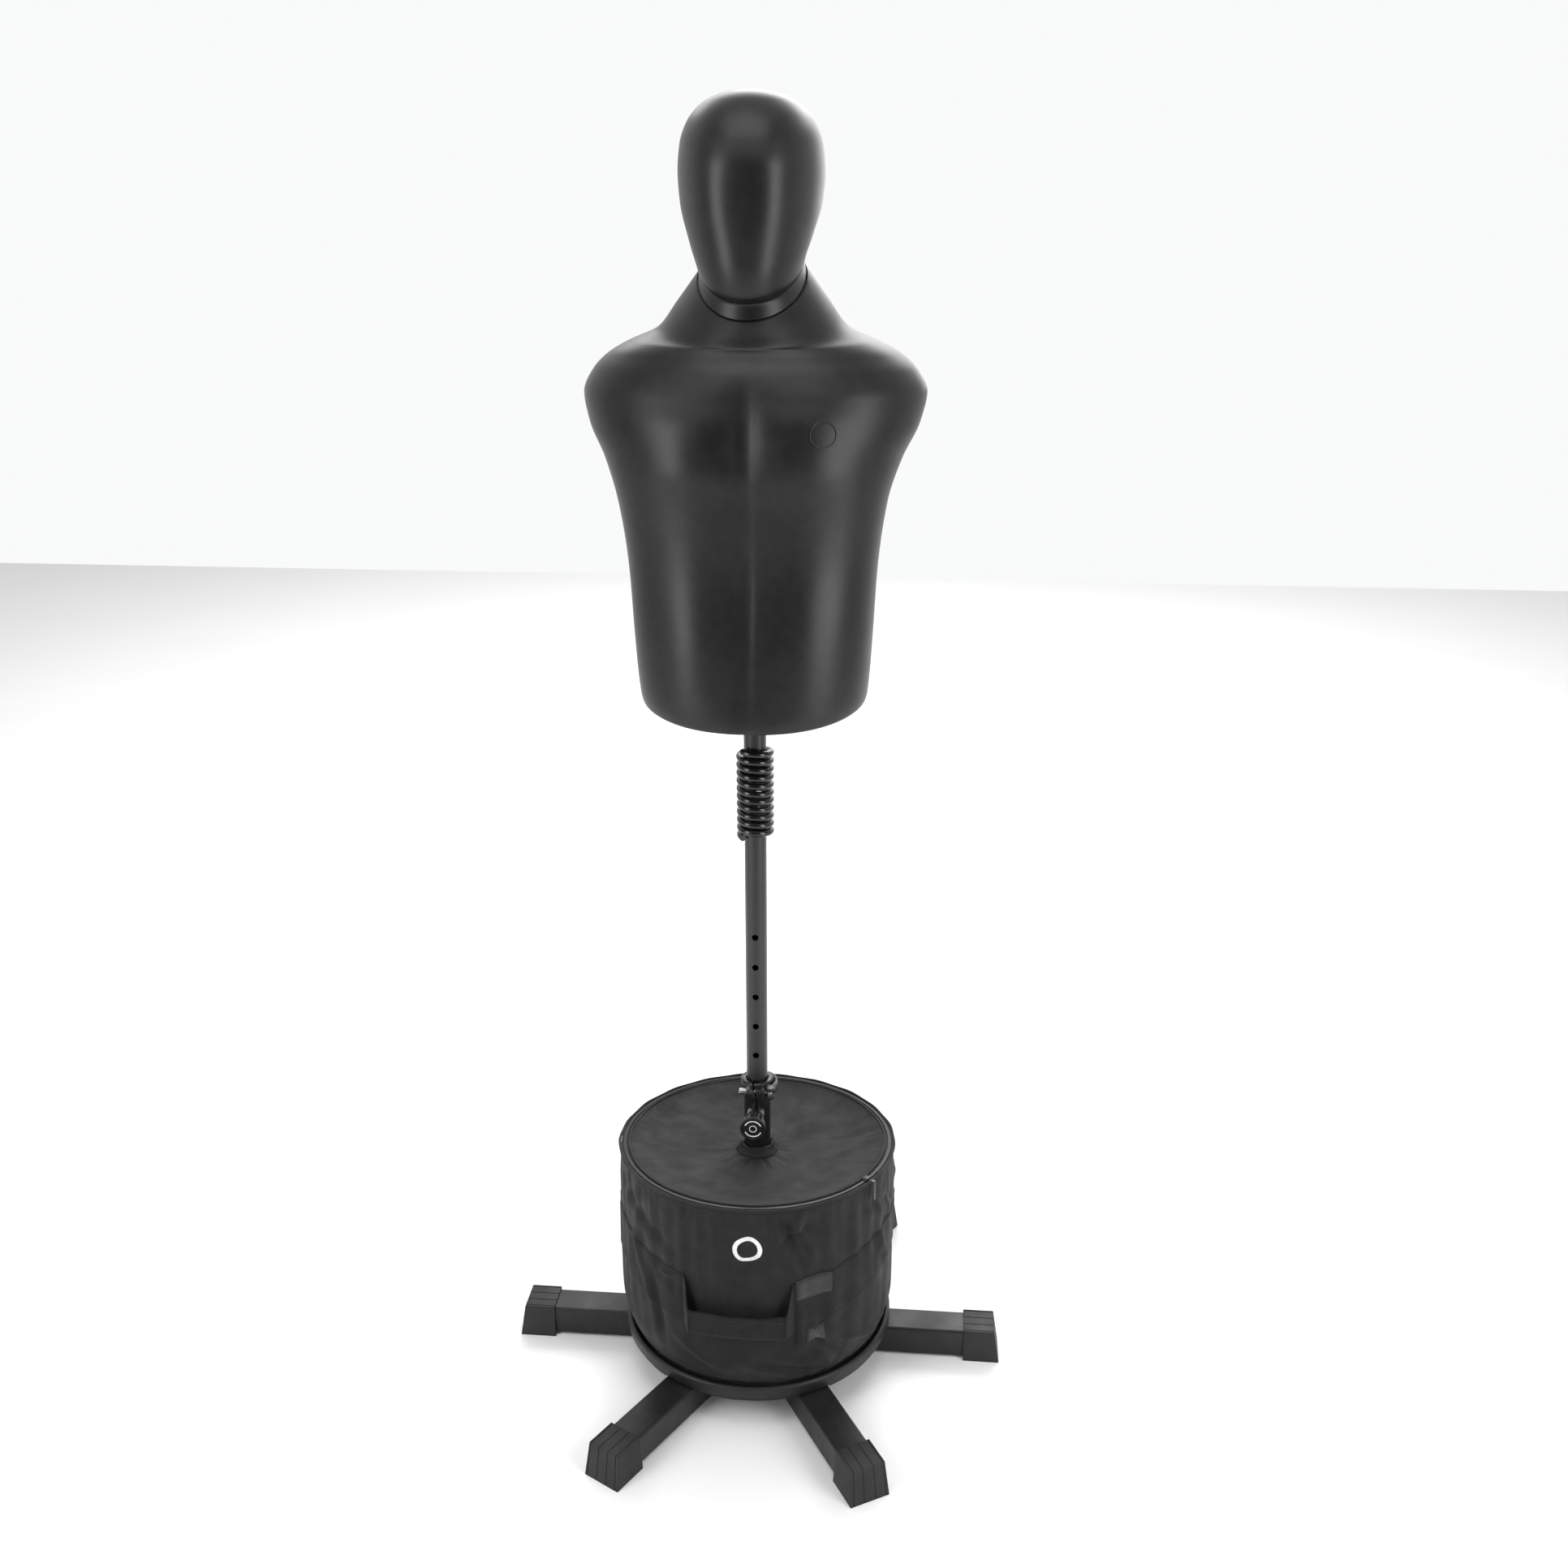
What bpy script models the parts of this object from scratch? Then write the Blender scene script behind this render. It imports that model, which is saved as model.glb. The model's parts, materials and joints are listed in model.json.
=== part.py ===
"""Body opponent mannequin: a padded torso and head on a spring, a height-adjustable mast,
and a six-legged base whose tray carries a ballast bag.

Frame: +Z up, the front of the mannequin towards -Y, the origin on the floor under the mast.
All lengths are in metres.
"""
import math

import bmesh
import bpy
from mathutils import Matrix, Vector

# ---------------------------------------------------------------- clearances
GAP = 0.0003            # between pieces that touch
SLIDE_GAP = 0.0004      # round pieces that slide or turn in one another
SLIP = 0.0005           # a loose push fit, as of a stub in a leg

# ---------------------------------------------------------------- base
LEG_COUNT = 6
LEG_FIRST_ANGLE = 30.0  # degrees from the front, towards +X
LEG_WIDTH = 0.050
LEG_HEIGHT = 0.048
LEG_WALL = 0.002
LEG_BOTTOM = 0.0028     # the legs stand on their caps, clear of the floor
LEG_REACH = 0.3730      # the open outer end of a leg, from the mast's axis
CAP_LENGTH = 0.048
CAP_END_WALL = 0.0035
CAP_SIDE_WALL = 0.0017
CAP_TOP_WALL = 0.0026
CAP_TOE_FLARE = 0.0086  # the foot's end spreads this far beyond its top edge
CAP_SIDE_FLARE = 0.0040
STUB_LENGTH = 0.105
STUB_WALL = 0.003
LEG_BOLT_RADIUS = 0.004
LEG_BOLT_HEAD_RADIUS = 0.007
LEG_BOLT_HEAD_HEIGHT = 0.003
LEG_BOLT_OUT = 0.060    # from a leg's inner end to its bolt
LEG_BOLT_TAIL = 0.005   # what shows below the stub's top wall

TRAY_ROOM = 0.0145         # from the bag's foot out to the tray's outside
TRAY_FLOOR = 0.006
TRAY_RIM_RISE = 0.0179  # the rim's top above the tray's floor
TRAY_LIP_UNDER = 0.0004  # the rolled lip's underside, below the top of the floor
TRAY_LIP_REACH = 0.0045  # how far the lip stands out beyond the skirt
TRAY_SKIRT_DROP = 0.0016
TRAY_WALL = 0.0045
TRAY_SIDES = 40
TRAY_NOTCH_ROOM = 0.0015
TRAY_NOTCH_RELIEF = 0.0005

# ---------------------------------------------------------------- mast
MAST_RADIUS = 0.016
MAST_WALL = 0.002
MAST_LENGTH = 0.574
MAST_INSIDE = 0.144        # how much of the mast is inside the outer tube
GUIDE_ROOM = 0.0022        # between the mast and the bore of the outer tube
OUTER_WALL = 0.0018
TUBE_ABOVE_BAG = 0.1025    # from the bag's top to the outer tube's
TUBE_SIDES = 24
PIN_DROP = 0.0475       # from the outer tube's top down to the locking pin and its hole
HOLE_PITCH = 0.0486
HOLES_ABOVE = 6
HOLES_BELOW = 1
HOLE_RADIUS = 0.0048
BUSH_LENGTH = 0.030
FOOT_LENGTH = 0.030
FOOT_WALL = 0.004

# ---------------------------------------------------------------- clamp
COLLAR_HEIGHT = 0.020
COLLAR_WALL = 0.0044
COLLAR_ABOVE_TUBE = 0.005
COLLAR_LIP_ROOM = 0.0014   # between the mast and the collar's lip
COLLAR_SLIT = 0.003
COLLAR_SLIT_TILT = 18.0  # degrees that the slit leans, its foot towards +X
EAR_LENGTH = 0.0075
EAR_OUT = 0.0130        # from the slit's middle to an ear's outer face
EAR_HEIGHT = 0.016
EAR_SINK = 0.0008       # from the collar's bore to the ears' root
TUBE_SLOT_DEPTH = 0.018
SKEWER_CLEAR = 0.0025   # from the outer tube to the skewer's near side
SKEWER_DROP = 0.012     # from the collar's top down to the skewer
SKEWER_RADIUS = 0.0025
NUT_RADIUS = 0.0050
NUT_LENGTH = 0.0115
WASHER_RADIUS = 0.0048
WASHER_THICKNESS = 0.0013
PIVOT_RADIUS = 0.0042
PIVOT_HEIGHT = 0.0140
LEVER_EYE_WALL = 0.0020
LEVER_CHEEK = 0.0022    # thickness of the fork above and below the pivot
LEVER_HEIGHT = 0.0150
LEVER_THICKNESS = 0.0036
LEVER_STAND_OFF = 0.0026
LEVER_START = -30.0     # degrees about the mast, from +X, where the blade leaves the pivot
LEVER_END = 62.0

# ---------------------------------------------------------------- locking knob
BARREL_RADIUS = 0.0135
BARREL_LENGTH = 0.0140
BARREL_NOSE_RADIUS = 0.0112  # the front of the barrel, which the knob slides over
BARREL_NOSE_LENGTH = 0.0090
PIN_RADIUS = 0.0042
PIN_DEPTH = 0.0030      # from the knob's front back to the pin's blind end
PIN_IN = 0.0070         # how far the knob screws in from rest, to lock the mast
KNOB_SMALL_RADIUS = 0.0150
KNOB_LARGE_RADIUS = 0.0195
KNOB_LENGTH = 0.0200
KNOB_RIBS = 10
KNOB_DISC_LENGTH = 0.0032

# ---------------------------------------------------------------- spring and post
SPRING_GRIP = 0.036     # how much of the mast is inside the spring
SPRING_LENGTH = 0.141
SPRING_ROOM = 0.0010    # between the mast and the inside of the wire
SPRING_WIRE = 0.010
SPRING_TURNS = 10.94
SPRING_STEPS = 14       # flats for each turn
SPRING_SIDES = 6
SPRING_FIRST_ANGLE = 223.0  # degrees about the mast, from +X, of the lower cut end
POST_GRIP = 0.040       # how much of the post is inside the spring
POST_LENGTH = 0.281

# ---------------------------------------------------------------- ballast bag
BAG_RADIUS = 0.213
BAG_FOOT_TUCK = 0.0175   # how far the foot is drawn in from the widest part
BAG_TOP = 0.3715
BAG_TILT = 0.0575       # the rim rises this much for each metre towards the front
BAG_WALL = 0.003
BAG_SIDES = 48          # flats round the bag
BAG_LID_SAG = 0.0195
BAG_LID_RINGS = ((0.090, 0.0045), (0.150, 0.0115))  # radius, and height above the lid's lowest ring
BAG_TUBE_ROOM = 0.0040  # between the outer tube and the bag's holes
ZIP_TUCK = 0.0035        # from the bag's widest part in to the zip
ZIP_WIDTH = 0.012
ZIP_THICKNESS = 0.0015
ZIP_ANGLE = 58.0        # degrees from the front towards +X, where the slider stops
SLIDER_LENGTH = 0.014
SLIDER_WIDTH = 0.0085
SLIDER_HEIGHT = 0.0045
TAB_LENGTH = 0.031
TAB_WIDTH = 0.0060
TAB_THICKNESS = 0.0016
TAB_CLEAR = 0.0032      # between the bag's side and the hanging tab
BAND_BOTTOM = 0.1775
BAND_TOP = 0.2620
BAND_THICKNESS = 0.0012
HANDLE_HALF_ANGLE = 22.5    # degrees about the mast, from the handle's middle to its anchor
HANDLE_TURN = -2.2          # degrees, the front handle's middle, towards +X
HANDLE_HEIGHT = 0.040
HANDLE_MIDDLE = 0.1950
HANDLE_THICKNESS = 0.006
HANDLE_STAND_OFF = 0.0145   # the finger gap behind the handle's middle
SLEEVE_WALL = 0.005
SLEEVE_STAND = 0.014    # the sleeve's top above the lid's lowest ring
SLIDER_LIFT = 0.0009    # from the zip's tape to the slider's underside
SACK_SIDE_ROOM = 0.0075  # between the bag's foot and the sack
SACK_TOP = 0.232
SACK_ROOM = 0.002       # between the bag's inner hole and the sack's
SACK_EDGE = 0.020       # how far the sack's edges are rounded

# ---------------------------------------------------------------- torso and head
# Each level: height above the torso's lowest edge at the mast's axis, half-width, reach to the
# front, reach to the back, squareness of the outline, rise towards the back (per metre), and how
# far behind the mast the outline is widest.
TORSO_SHAPE = (
    (0.0000, 0.1150, 0.0950, 0.0850, 2.0, 0.15, 0.000),
    (0.0040, 0.1380, 0.1160, 0.1020, 2.1, 0.20, 0.000),
    (0.0260, 0.1570, 0.1250, 0.1100, 2.2, 0.22, 0.000),
    (0.0880, 0.1625, 0.1210, 0.1070, 2.4, 0.06, 0.000),
    (0.1780, 0.1670, 0.1150, 0.1030, 2.5, 0.00, 0.000),
    (0.2750, 0.1795, 0.1230, 0.1070, 2.5, 0.00, 0.000),
    (0.3280, 0.1970, 0.1290, 0.1130, 2.4, 0.00, 0.015),
    (0.3730, 0.2190, 0.1270, 0.1170, 2.3, 0.00, 0.030),
    (0.4100, 0.2270, 0.1160, 0.1160, 2.2, 0.00, 0.035),
    (0.4430, 0.2220, 0.1020, 0.1080, 2.1, 0.00, 0.030),
    (0.4630, 0.2080, 0.0920, 0.0980, 2.0, 0.02, 0.025),
    (0.4780, 0.1550, 0.0850, 0.0860, 2.0, 0.10, 0.012),
    (0.4980, 0.1120, 0.0800, 0.0740, 2.0, 0.36, 0.008),
    (0.5510, 0.0710, 0.0730, 0.0640, 2.0, 0.68, 0.004),
)
HEAD_SHAPE = (
    (0.5510, 0.0690, 0.0710, 0.0620, 2.0, 0.68, 0.004),
    (0.5650, 0.0670, 0.0700, 0.0630, 2.0, 0.66, 0.004),
    (0.5820, 0.0700, 0.0960, 0.0770, 2.1, 0.55, 0.006),
    (0.6060, 0.0790, 0.1100, 0.0900, 2.1, 0.34, 0.008),
    (0.6430, 0.0895, 0.1160, 0.1000, 2.1, 0.12, 0.010),
    (0.6760, 0.0922, 0.1150, 0.1040, 2.1, 0.00, 0.012),
    (0.7080, 0.0895, 0.1070, 0.1010, 2.1, 0.00, 0.012),
    (0.7360, 0.0790, 0.0910, 0.0890, 2.1, 0.00, 0.010),
    (0.7580, 0.0570, 0.0660, 0.0650, 2.0, 0.00, 0.006),
)
HEAD_RAISE = 0.7710      # from the torso's lowest edge up to the crown
TORSO_RAISE = 0.0730     # from the spring's top up to the torso's lowest edge
SKIN_WALL = 0.005
CROWN_DROP = 0.003      # extra wall where the skin lies nearly flat near the crown
FOAM_GAP = 0.0010
TORSO_SIDES = 32
HEAD_SIDES = 24
NECK_FLANGE = 0.012     # how far the torso's neck opening turns in under the head
SOCKET_WALL = 0.003
SOCKET_LENGTH = 0.180
PLATE_RADIUS = 0.075
PLATE_THICKNESS = 0.012
PLATE_RAISE = 0.0270     # from the torso's lowest edge up to the plate
PLATE_SCREWS = 4
SCREW_RADIUS = 0.0030
SCREW_HEAD_RADIUS = 0.0060
SCREW_HEAD_HEIGHT = 0.0035
SCREW_CIRCLE = 0.050
SCREW_TAIL = 0.020

# ---------------------------------------------------------------- derived places
LEG_INNER = LEG_WIDTH / 2 / math.tan(math.pi / LEG_COUNT) + 0.001
LEG_TOP = LEG_BOTTOM + LEG_HEIGHT
STUB_WIDTH = LEG_WIDTH - 2 * LEG_WALL - 2 * SLIP
STUB_HEIGHT = LEG_HEIGHT - 2 * LEG_WALL - 2 * SLIP
OUTER_TOP = BAG_TOP + TUBE_ABOVE_BAG
PIN_HEIGHT = OUTER_TOP - PIN_DROP
MAST_BOTTOM = OUTER_TOP - MAST_INSIDE
MAST_TOP = MAST_BOTTOM + MAST_LENGTH
BAG_FOOT_RADIUS = BAG_RADIUS - BAG_FOOT_TUCK
TRAY_RADIUS = BAG_FOOT_RADIUS + TRAY_ROOM
ZIP_OUTER_RADIUS = BAG_RADIUS - ZIP_TUCK
ZIP_INNER_RADIUS = ZIP_OUTER_RADIUS - ZIP_WIDTH
SACK_RADIUS = BAG_FOOT_RADIUS - SACK_SIDE_ROOM
SPRING_RADIUS = MAST_RADIUS + SPRING_ROOM + SPRING_WIRE
SPRING_BOTTOM = MAST_TOP - SPRING_GRIP
SPRING_TOP = SPRING_BOTTOM + SPRING_LENGTH
POST_BOTTOM = SPRING_TOP - POST_GRIP
OUTER_RADIUS = MAST_RADIUS + GUIDE_ROOM + OUTER_WALL
TORSO_BOTTOM = SPRING_TOP + TORSO_RAISE
TORSO_LEVELS = tuple((TORSO_BOTTOM + level[0], *level[1:]) for level in TORSO_SHAPE)
HEAD_LEVELS = tuple((TORSO_BOTTOM + level[0], *level[1:]) for level in HEAD_SHAPE)
HEAD_TOP = TORSO_BOTTOM + HEAD_RAISE
PLATE_BOTTOM = TORSO_BOTTOM + PLATE_RAISE
CAP_OUTER = LEG_REACH + GAP + CAP_END_WALL
TRAY_UNDER = LEG_TOP + GAP
TRAY_TOP = TRAY_UNDER + TRAY_FLOOR
TRAY_RIM_TOP = TRAY_TOP + TRAY_RIM_RISE
BAG_BOTTOM = TRAY_TOP + GAP
OUTER_BORE = OUTER_RADIUS - OUTER_WALL
COLLAR_TOP = OUTER_TOP + COLLAR_ABOVE_TUBE
COLLAR_BOTTOM = COLLAR_TOP - COLLAR_HEIGHT
COLLAR_BORE = OUTER_RADIUS + GAP
COLLAR_RADIUS = COLLAR_BORE + COLLAR_WALL
COLLAR_LIP_RADIUS = MAST_RADIUS + COLLAR_LIP_ROOM
CLAMP_MIDDLE = COLLAR_TOP - SKEWER_DROP
SKEWER_Y = -(OUTER_RADIUS + SKEWER_CLEAR + SKEWER_RADIUS)
LEVER_EYE = PIVOT_RADIUS + SLIDE_GAP + LEVER_EYE_WALL
WASHER_X = EAR_OUT + GAP
PIVOT_X = WASHER_X + WASHER_THICKNESS + GAP + LEVER_EYE
NUT_X = -(EAR_OUT + GAP)
LEVER_INNER = COLLAR_RADIUS + LEVER_STAND_OFF
BARREL_FRONT = -(OUTER_RADIUS + BARREL_LENGTH + BARREL_NOSE_LENGTH)
KNOB_BACK = -(OUTER_RADIUS + BARREL_LENGTH + PIN_IN + GAP)
KNOB_POCKET = PIN_IN + (KNOB_BACK - BARREL_FRONT) + GAP  # depth of the hollow in the knob's back
KNOB_FRONT = KNOB_BACK - KNOB_LENGTH
MAST_BORE = MAST_RADIUS - MAST_WALL
PIN_NOSE_Y = -(MAST_RADIUS + GAP)  # the pin rests clear of the mast
SPRING_COIL_RADIUS = SPRING_RADIUS - SPRING_WIRE / 2
SLEEVE_RADIUS = OUTER_RADIUS + GAP + SLEEVE_WALL
LID_HOLE = SLEEVE_RADIUS + GAP
LID_UNDER = BAG_TOP - BAG_LID_SAG
ZIP_UNDER = BAG_TOP - ZIP_THICKNESS
ZIP_MIDDLE = (ZIP_INNER_RADIUS + ZIP_OUTER_RADIUS) / 2
TAB_PIVOT = SLIDER_WIDTH / 2 + GAP + TAB_THICKNESS / 2  # from the slider's middle to the tab's hinge
BAG_FLAT_ROOM = BAG_RADIUS * (1 - math.cos(math.pi / BAG_SIDES)) + GAP  # clears the flats' corners
PLATE_TOP = PLATE_BOTTOM + PLATE_THICKNESS
SOCKET_BORE = MAST_RADIUS + SLIDE_GAP
SOCKET_RADIUS = SOCKET_BORE + SOCKET_WALL
SOCKET_BOTTOM = PLATE_BOTTOM + 0.001


def clear_scene():
    """Take every object out of the open file."""
    for old in list(bpy.data.objects):
        bpy.data.objects.remove(old, do_unlink=True)


# ---------------------------------------------------------------- materials
def material(name, color, roughness, metallic=0.0):
    """A Principled material in one colour."""
    mat = bpy.data.materials.new(name)
    mat.use_nodes = True
    shader = mat.node_tree.nodes["Principled BSDF"]
    shader.inputs["Base Color"].default_value = (*color, 1.0)
    shader.inputs["Roughness"].default_value = roughness
    shader.inputs["Metallic"].default_value = metallic
    return mat


# ---------------------------------------------------------------- mesh helpers
def publish(name, bm, mat, location=(0, 0, 0), smooth=True):
    """Turn a bmesh, drawn about its own origin, into an object at location."""
    bmesh.ops.recalc_face_normals(bm, faces=bm.faces)
    mesh = bpy.data.meshes.new(name)
    bm.to_mesh(mesh)
    bm.free()
    mesh.materials.append(mat)
    if smooth:
        mesh.shade_smooth()
        mesh.set_sharp_from_angle(angle=math.radians(35))
    obj = bpy.data.objects.new(name, mesh)
    obj.location = location
    bpy.context.scene.collection.objects.link(obj)
    return obj


def four_sided(bm, a, b, c, d):
    """A flat four-sided face, or two triangles split along the shorter diagonal."""
    normal = (b.co - a.co).cross(c.co - a.co)
    if abs(normal.dot(d.co - a.co)) < 1e-4 * normal.length * (d.co - a.co).length:
        bm.faces.new((a, b, c, d))
    elif (a.co - c.co).length < (b.co - d.co).length:
        bm.faces.new((a, b, c))
        bm.faces.new((a, c, d))
    else:
        bm.faces.new((a, b, d))
        bm.faces.new((b, c, d))


def skin_rings(bm, rings, closed_loop=False, cap_ends=True):
    """Join rings of points into a tube, closing it with end faces or back on itself."""
    loops = [[bm.verts.new(point) for point in ring] for ring in rings]
    pairs = list(zip(loops, loops[1:]))
    if closed_loop:
        pairs.append((loops[-1], loops[0]))
    for lower, upper in pairs:
        count = len(lower)
        for i in range(count):
            j = (i + 1) % count
            four_sided(bm, lower[i], lower[j], upper[j], upper[i])
    if cap_ends and not closed_loop:
        bm.faces.new(list(reversed(loops[0])))
        bm.faces.new(loops[-1])
    return loops


def circle(radius, height, sides, start=0.0):
    """Points of a level circle."""
    turn = 2 * math.pi / sides
    return [
        Vector((radius * math.cos(start + i * turn), radius * math.sin(start + i * turn), height))
        for i in range(sides)
    ]


def turned_ring(profile, sides=TUBE_SIDES):
    """A ring turned about Z from a closed profile of (radius, height) points."""
    bm = bmesh.new()
    skin_rings(bm, [circle(r, z, sides) for r, z in profile], closed_loop=True)
    return bm


def turned_solid(profile, sides=24):
    """A solid turned about Z from (radius, height) points, bottom to top."""
    bm = bmesh.new()
    skin_rings(bm, [circle(r, z, sides) for r, z in profile])
    return bm


def pipe(outer, inner, bottom, top, sides=TUBE_SIDES):
    """A plain tube about Z."""
    return turned_ring(((outer, bottom), (outer, top), (inner, top), (inner, bottom)), sides)


def block(low, high):
    """A box between two corners."""
    bm = bmesh.new()
    bmesh.ops.create_cube(bm, size=1.0)
    low, high = Vector(low), Vector(high)
    size = high - low
    bmesh.ops.scale(bm, vec=size, verts=bm.verts)
    bmesh.ops.translate(bm, vec=(low + high) / 2, verts=bm.verts)
    return bm


def move(bm, matrix):
    """Transform everything in a bmesh, and hand it back."""
    bmesh.ops.transform(bm, matrix=matrix, verts=bm.verts)
    return bm


def along_front(bm):
    """Turn a shape drawn about +Z so that it points to the front, -Y."""
    return move(bm, Matrix.Rotation(math.radians(90), 4, "X"))


def along_side(bm):
    """Turn a shape drawn about +Z so that it points to +X."""
    return move(bm, Matrix.Rotation(math.radians(90), 4, "Y"))


def cut(obj, bm, name, operation="DIFFERENCE"):
    """Take a bmesh, drawn in the world's frame, from an object, or join it on."""
    bmesh.ops.recalc_face_normals(bm, faces=bm.faces)
    mesh = bpy.data.meshes.new(name)
    bm.to_mesh(mesh)
    bm.free()
    cutter = bpy.data.objects.new(name, mesh)
    cutter.hide_render = True
    cutter.display_type = "WIRE"
    bpy.context.scene.collection.objects.link(cutter)
    modifier = obj.modifiers.new(name, "BOOLEAN")
    modifier.operation = operation
    modifier.solver = "EXACT"
    modifier.object = cutter
    return obj


def merged(parts):
    """Several bmeshes as one, still separate bodies."""
    whole = bmesh.new()
    for bm in parts:
        mesh = bpy.data.meshes.new("merging")
        bm.to_mesh(mesh)
        bm.free()
        whole.from_mesh(mesh)
        bpy.data.meshes.remove(mesh)
    return whole


def leg_angles():
    """Angle about Z of each leg's own +X, which runs outwards from the mast."""
    step = 360.0 / LEG_COUNT
    return [math.radians(-90.0 + LEG_FIRST_ANGLE + i * step) for i in range(LEG_COUNT)]


def round_the_legs(make):
    """One copy of a bmesh for each leg, turned to it."""
    return merged([move(make(), Matrix.Rotation(a, 4, "Z")) for a in leg_angles()])


# ---------------------------------------------------------------- base
def bolt_radius_place():
    """Distance of a leg's bolt from the mast's axis."""
    return LEG_INNER + LEG_BOLT_OUT


def bolt_hole(radius, bottom, top, sides=12):
    """A round cutter standing at a leg's bolt, before it is turned to its leg."""
    hole = turned_solid(((radius, bottom), (radius, top)), sides)
    return move(hole, Matrix.Translation((bolt_radius_place(), 0, 0)))


def make_hub(mat):
    """Six-sided steel hub with a square stub for each leg and a bore for the outer tube."""
    face = LEG_INNER - GAP
    corner = face / math.cos(math.pi / LEG_COUNT)
    start = leg_angles()[0] + math.pi / LEG_COUNT
    bottom = LEG_BOTTOM + LEG_WALL + SLIP
    top = bottom + STUB_HEIGHT
    bm = bmesh.new()
    skin_rings(bm, [circle(corner, z, LEG_COUNT, start) for z in (LEG_BOTTOM, LEG_TOP)])
    hub = publish("hub", bm, mat)
    half = STUB_WIDTH / 2
    inside = half - STUB_WALL
    end = LEG_INNER + STUB_LENGTH

    def stub():
        return block((face - 0.004, -half, bottom), (end, half, top))

    def hollow():
        low = (face + 0.002, -inside, bottom + STUB_WALL)
        return block(low, (end + 0.01, inside, top - STUB_WALL))

    cut(hub, round_the_legs(stub), "hub_stubs", "UNION")
    cut(hub, round_the_legs(hollow), "hub_stub_hollows")
    bore = turned_solid(((OUTER_RADIUS + GAP, -0.01), (OUTER_RADIUS + GAP, LEG_TOP + 0.01)), TUBE_SIDES)
    cut(hub, bore, "hub_bore")
    room = LEG_BOLT_RADIUS + GAP
    cut(hub, round_the_legs(lambda: bolt_hole(room, top - STUB_WALL - 0.001, top + 0.01)), "hub_bolts")


def make_leg(index, angle, mat):
    """Square tube, open at both ends, bolted to the hub's stub through its top wall."""
    half = LEG_WIDTH / 2
    inside = half - LEG_WALL
    profile = [(-half, LEG_BOTTOM), (half, LEG_BOTTOM), (half, LEG_TOP), (-half, LEG_TOP)]
    hollow = [
        (-inside, LEG_BOTTOM + LEG_WALL), (inside, LEG_BOTTOM + LEG_WALL),
        (inside, LEG_TOP - LEG_WALL), (-inside, LEG_TOP - LEG_WALL),
    ]
    rings = [
        [(LEG_INNER, y, z) for y, z in profile], [(LEG_REACH, y, z) for y, z in profile],
        [(LEG_REACH, y, z) for y, z in hollow], [(LEG_INNER, y, z) for y, z in hollow],
    ]
    bm = bmesh.new()
    skin_rings(bm, rings, closed_loop=True)
    leg = publish(f"leg_{index}", bm, mat, smooth=False)
    leg.rotation_euler = (0, 0, angle)
    hole = bolt_hole(LEG_BOLT_RADIUS + GAP, LEG_TOP - LEG_WALL - 0.001, LEG_TOP + 0.01)
    cut(leg, move(hole, Matrix.Rotation(angle, 4, "Z")), f"leg_{index}_hole")


def make_leg_cap(index, angle, mat):
    """Moulded foot that sleeves over a leg's outer end and flares towards the floor."""
    half = LEG_WIDTH / 2 + GAP + CAP_SIDE_WALL
    top = LEG_TOP + GAP + CAP_TOP_WALL
    inner = CAP_OUTER - CAP_LENGTH
    wide = half + CAP_SIDE_FLARE
    toe = CAP_OUTER + CAP_TOE_FLARE
    room = LEG_WIDTH / 2 + GAP
    pocket = LEG_REACH + GAP
    bm = bmesh.new()
    mouth = [(inner, -wide, 0), (inner, wide, 0), (inner, half, top), (inner, -half, top)]
    nose = [(toe, -wide, 0), (toe, wide, 0), (CAP_OUTER, half, top), (CAP_OUTER, -half, top)]
    low, high = LEG_BOTTOM - GAP, LEG_TOP + GAP
    deep = [(pocket, -room, low), (pocket, room, low), (pocket, room, high), (pocket, -room, high)]
    lip = [(inner, y, z) for _, y, z in deep]
    loops = skin_rings(bm, [deep, lip, mouth, nose], cap_ends=False)
    bm.faces.new(list(reversed(loops[0])))
    bm.faces.new(loops[-1])
    cap = publish(f"leg_cap_{index}", bm, mat, smooth=False)
    cap.rotation_euler = (0, 0, angle)


def make_leg_bolt(index, angle, mat):
    """Low-headed bolt, sunk in the tray's floor, through the leg and the hub's stub."""
    head_under = TRAY_TOP - GAP - LEG_BOLT_HEAD_HEIGHT
    end = LEG_TOP - LEG_WALL - SLIP - STUB_WALL - LEG_BOLT_TAIL
    bm = turned_solid((
        (LEG_BOLT_RADIUS * 0.7, end), (LEG_BOLT_RADIUS, end + 0.001),
        (LEG_BOLT_RADIUS, head_under), (LEG_BOLT_HEAD_RADIUS, head_under),
        (LEG_BOLT_HEAD_RADIUS, head_under + 0.6 * LEG_BOLT_HEAD_HEIGHT),
        (LEG_BOLT_HEAD_RADIUS * 0.7, head_under + LEG_BOLT_HEAD_HEIGHT),
    ), 12)
    x = bolt_radius_place() * math.cos(angle)
    y = bolt_radius_place() * math.sin(angle)
    publish(f"leg_bolt_{index}", bm, mat, (x, y, 0))


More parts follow.
